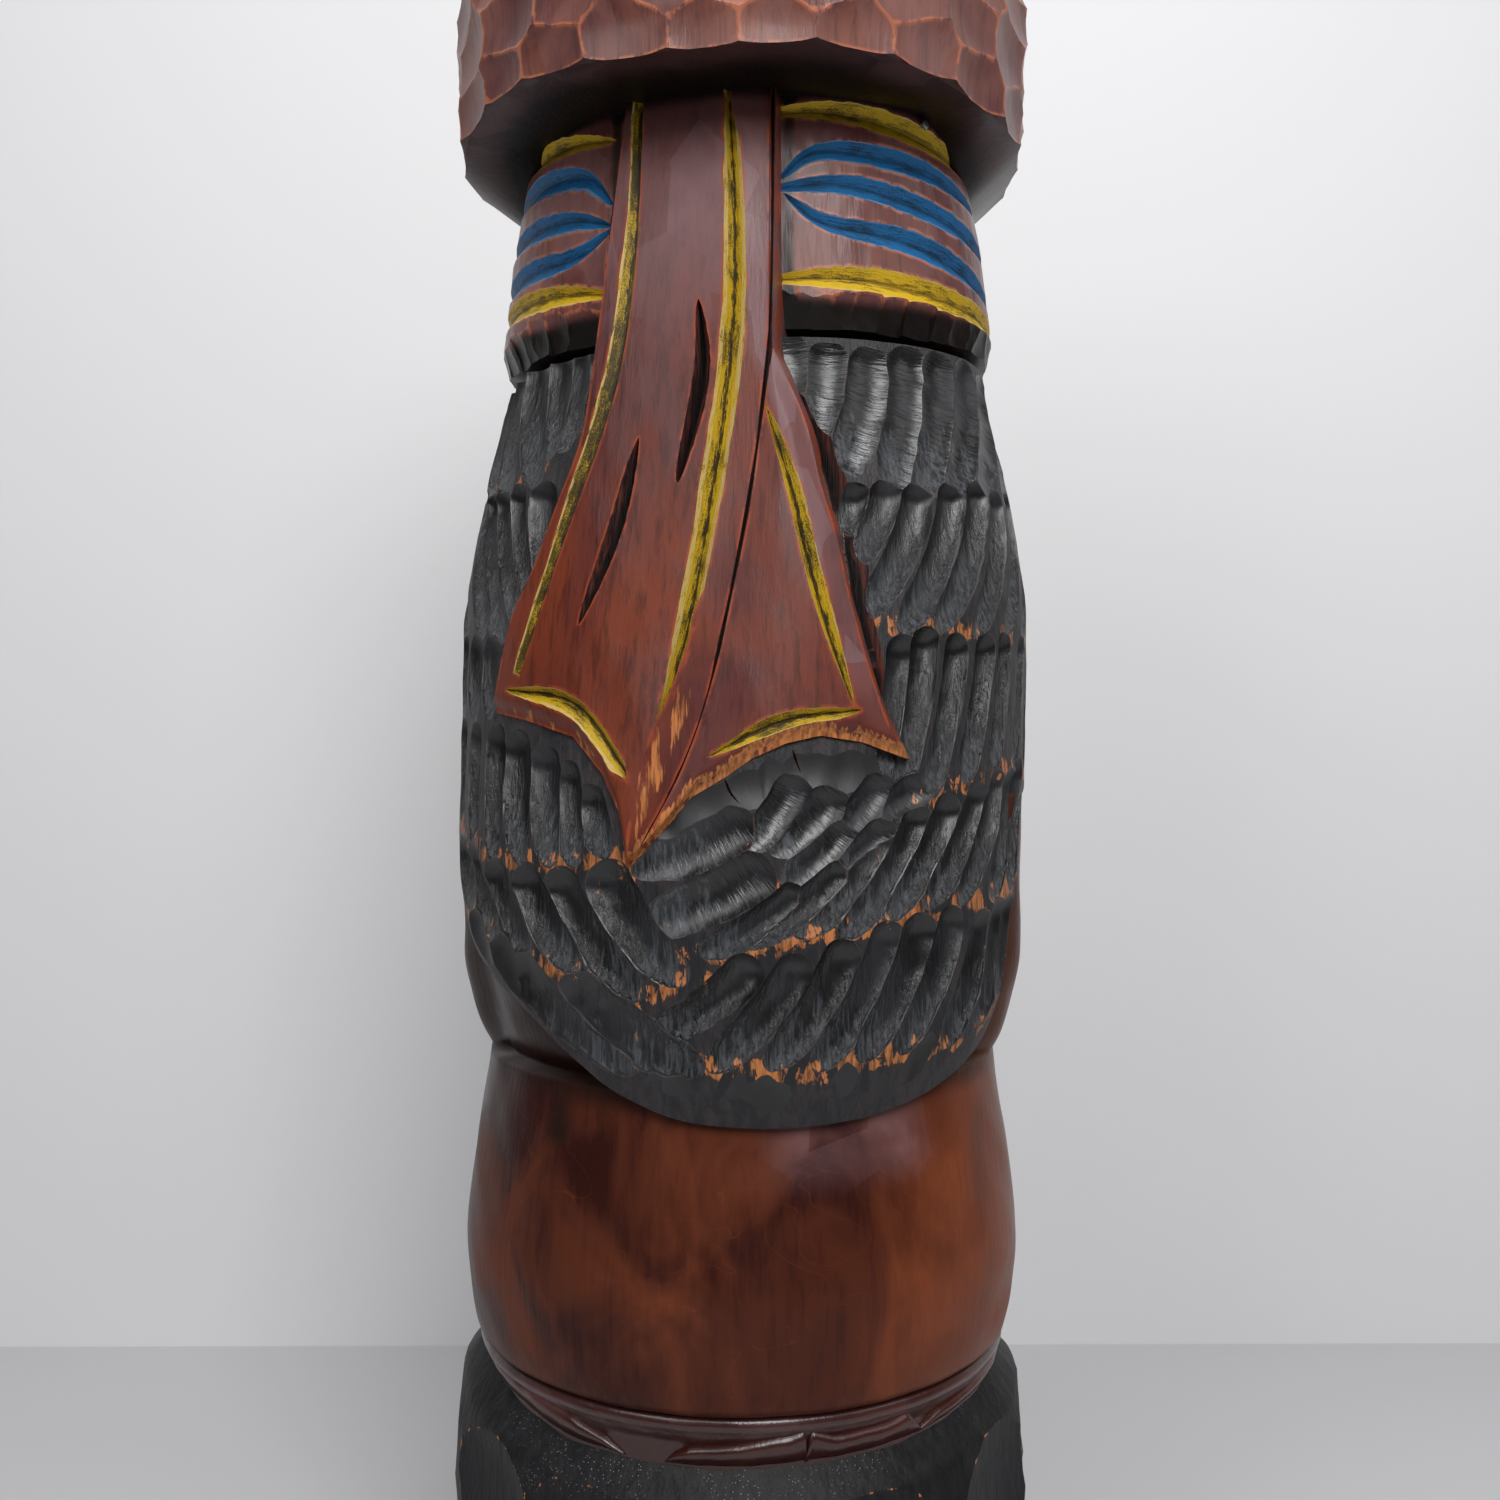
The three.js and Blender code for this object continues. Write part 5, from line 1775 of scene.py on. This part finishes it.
STEPS = (
    TOTEM_OT_belly, TOTEM_OT_beard, TOTEM_OT_face, TOTEM_OT_cap, TOTEM_OT_belt, TOTEM_OT_drum,
    TOTEM_OT_nail, TOTEM_OT_stage,
)


class TOTEM_PT_panel(bpy.types.Panel):
    """Lists the pieces and the settings"""

    bl_label = "Totem Pole"
    bl_idname = "TOTEM_PT_panel"
    bl_space_type = "VIEW_3D"
    bl_region_type = "UI"
    bl_category = "Totem Pole"

    def draw(self, context):
        """Every setting, then a button for every operator."""
        for group in (context.scene.totem_sizes, context.scene.totem_look):
            for name in group.__annotations__:
                self.layout.prop(group, name)
        for step in STEPS:
            self.layout.operator(step.bl_idname)


# ---- Stage ----

CAMERA_AZIMUTH = 15.0
CAMERA_DISTANCE = 0.789
CAMERA_HEIGHT = 0.530
CAMERA_LENS = 34.73
CAMERA_TURN = 0.32
WALL_BEHIND = 0.50
WALL_HEIGHT = 3.0
STAGE_REACH = 4.0
# Each lamp's name, azimuth, distance, height, size, power and the height that it faces.
LAMPS = [
    ("Key", 27, 1.5, 1.8, (0.8, 1.2), 31, 0.55),
    ("Front", -22, 1.5, 1.5, (0.8, 1.0), 8, 0.55),
    ("Top", 15, 0.3, 2.3, (0.9, 0.6), 6, 0.4),
    ("Side", 78, 1.1, 1.2, (0.5, 0.8), 2, 0.5),
]
SKY_STRENGTH = 0.10


def facing(azimuth, distance, height):
    """The place at an azimuth round the pole, positive towards +X from -Y."""
    turn = math.radians(azimuth)
    return (distance * math.sin(turn), -distance * math.cos(turn), height)


def soft_light(name, azimuth, distance, height, size, power, target_height):
    """A broad lamp that faces the axis at the target's height: it leans by the arc tangent of its
    distance over its height above that."""
    lamp = bpy.data.lights.new(name, "AREA")
    lamp.shape = "RECTANGLE"
    lamp.size, lamp.size_y = size
    lamp.energy = power
    holder = bpy.data.objects.new(name, lamp)
    bpy.context.scene.collection.objects.link(holder)
    place = facing(azimuth, distance, height)
    holder.location = place
    away = math.atan2(math.hypot(place[0], place[1]), height - target_height)
    holder.rotation_euler = (away, 0.0, math.radians(azimuth))


def sheet_of(name, corners, material):
    """One flat face of the stage."""
    mesh = bpy.data.meshes.new(name)
    mesh.from_pydata(corners, [], [tuple(range(len(corners)))])
    mesh.materials.append(material)
    piece = bpy.data.objects.new(name, mesh)
    bpy.context.scene.collection.objects.link(piece)


def one_sided(material):
    """Lets the wall be seen from its front only, so that it hides nothing from behind."""
    tree = material.node_tree
    clear = tree.nodes.new("ShaderNodeBsdfTransparent")
    side = tree.nodes.new("ShaderNodeNewGeometry")
    either = tree.nodes.new("ShaderNodeMixShader")
    tree.links.new(side.outputs["Backfacing"], either.inputs["Fac"])
    tree.links.new(tree.nodes["Principled BSDF"].outputs["BSDF"], either.inputs[1])
    tree.links.new(clear.outputs["BSDF"], either.inputs[2])
    tree.links.new(either.outputs["Shader"], tree.nodes["Material Output"].inputs["Surface"])
    return material


def build_room():
    """A pale floor, and a wall that stands behind the pole, square to the camera."""
    floor = plain("Pale floor", (0.60, 0.60, 0.61), 0.6)
    wall = one_sided(plain("Pale wall", (0.80, 0.80, 0.81), 0.8))
    far = STAGE_REACH
    sheet_of("floor", [(-far, -far, 0), (far, -far, 0), (far, far, 0), (-far, far, 0)], floor)
    turn = math.radians(CAMERA_AZIMUTH)
    back = np.array([-math.sin(turn), math.cos(turn)]) * WALL_BEHIND
    across = np.array([math.cos(turn), math.sin(turn)]) * far
    left, right = back - across, back + across
    corners = [(*left, 0.0), (*right, 0.0), (*right, WALL_HEIGHT), (*left, WALL_HEIGHT)]
    sheet_of("wall", corners, wall)


def build_sky(scene):
    """An even, faint, slightly cool sky."""
    world = bpy.data.worlds.new("Even sky")
    world.use_nodes = True
    sky = world.node_tree.nodes["Background"]
    sky.inputs["Color"].default_value = (0.8, 0.82, 0.85, 1.0)
    sky.inputs["Strength"].default_value = SKY_STRENGTH
    scene.world = world


def build_camera(scene):
    """A level camera in front of the pole, turned a little off its axis."""
    camera = bpy.data.cameras.new("Camera")
    camera.lens = CAMERA_LENS
    camera.sensor_width = 36.0
    camera.clip_start = 0.01
    holder = bpy.data.objects.new("Camera", camera)
    scene.collection.objects.link(holder)
    holder.location = facing(CAMERA_AZIMUTH, CAMERA_DISTANCE, CAMERA_HEIGHT)
    holder.rotation_euler = (math.pi / 2, 0.0, math.radians(CAMERA_AZIMUTH - CAMERA_TURN))
    scene.camera = holder


def build_stage(scene):
    """The room, the lamps, the sky and the camera, with colours shown as they are."""
    build_room()
    for lamp in LAMPS:
        soft_light(*lamp)
    build_sky(scene)
    build_camera(scene)
    scene.view_settings.view_transform = "Standard"


CLASSES = (TotemSizes, TotemLook, *STEPS, TOTEM_PT_panel)


def register():
    """Adds the settings, the operators and the panel."""
    for part in CLASSES:
        bpy.utils.register_class(part)
    bpy.types.Scene.totem_sizes = bpy.props.PointerProperty(type=TotemSizes)
    bpy.types.Scene.totem_look = bpy.props.PointerProperty(type=TotemLook)


def unregister():
    """Takes the settings, the operators and the panel away again."""
    del bpy.types.Scene.totem_look
    del bpy.types.Scene.totem_sizes
    for part in reversed(CLASSES):
        bpy.utils.unregister_class(part)


def main():
    """Runs every operator in turn."""
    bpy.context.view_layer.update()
    register()
    for step in STEPS:
        group, name = step.bl_idname.split(".")
        getattr(getattr(bpy.ops, group), name)()


if __name__ == "__main__":
    main()
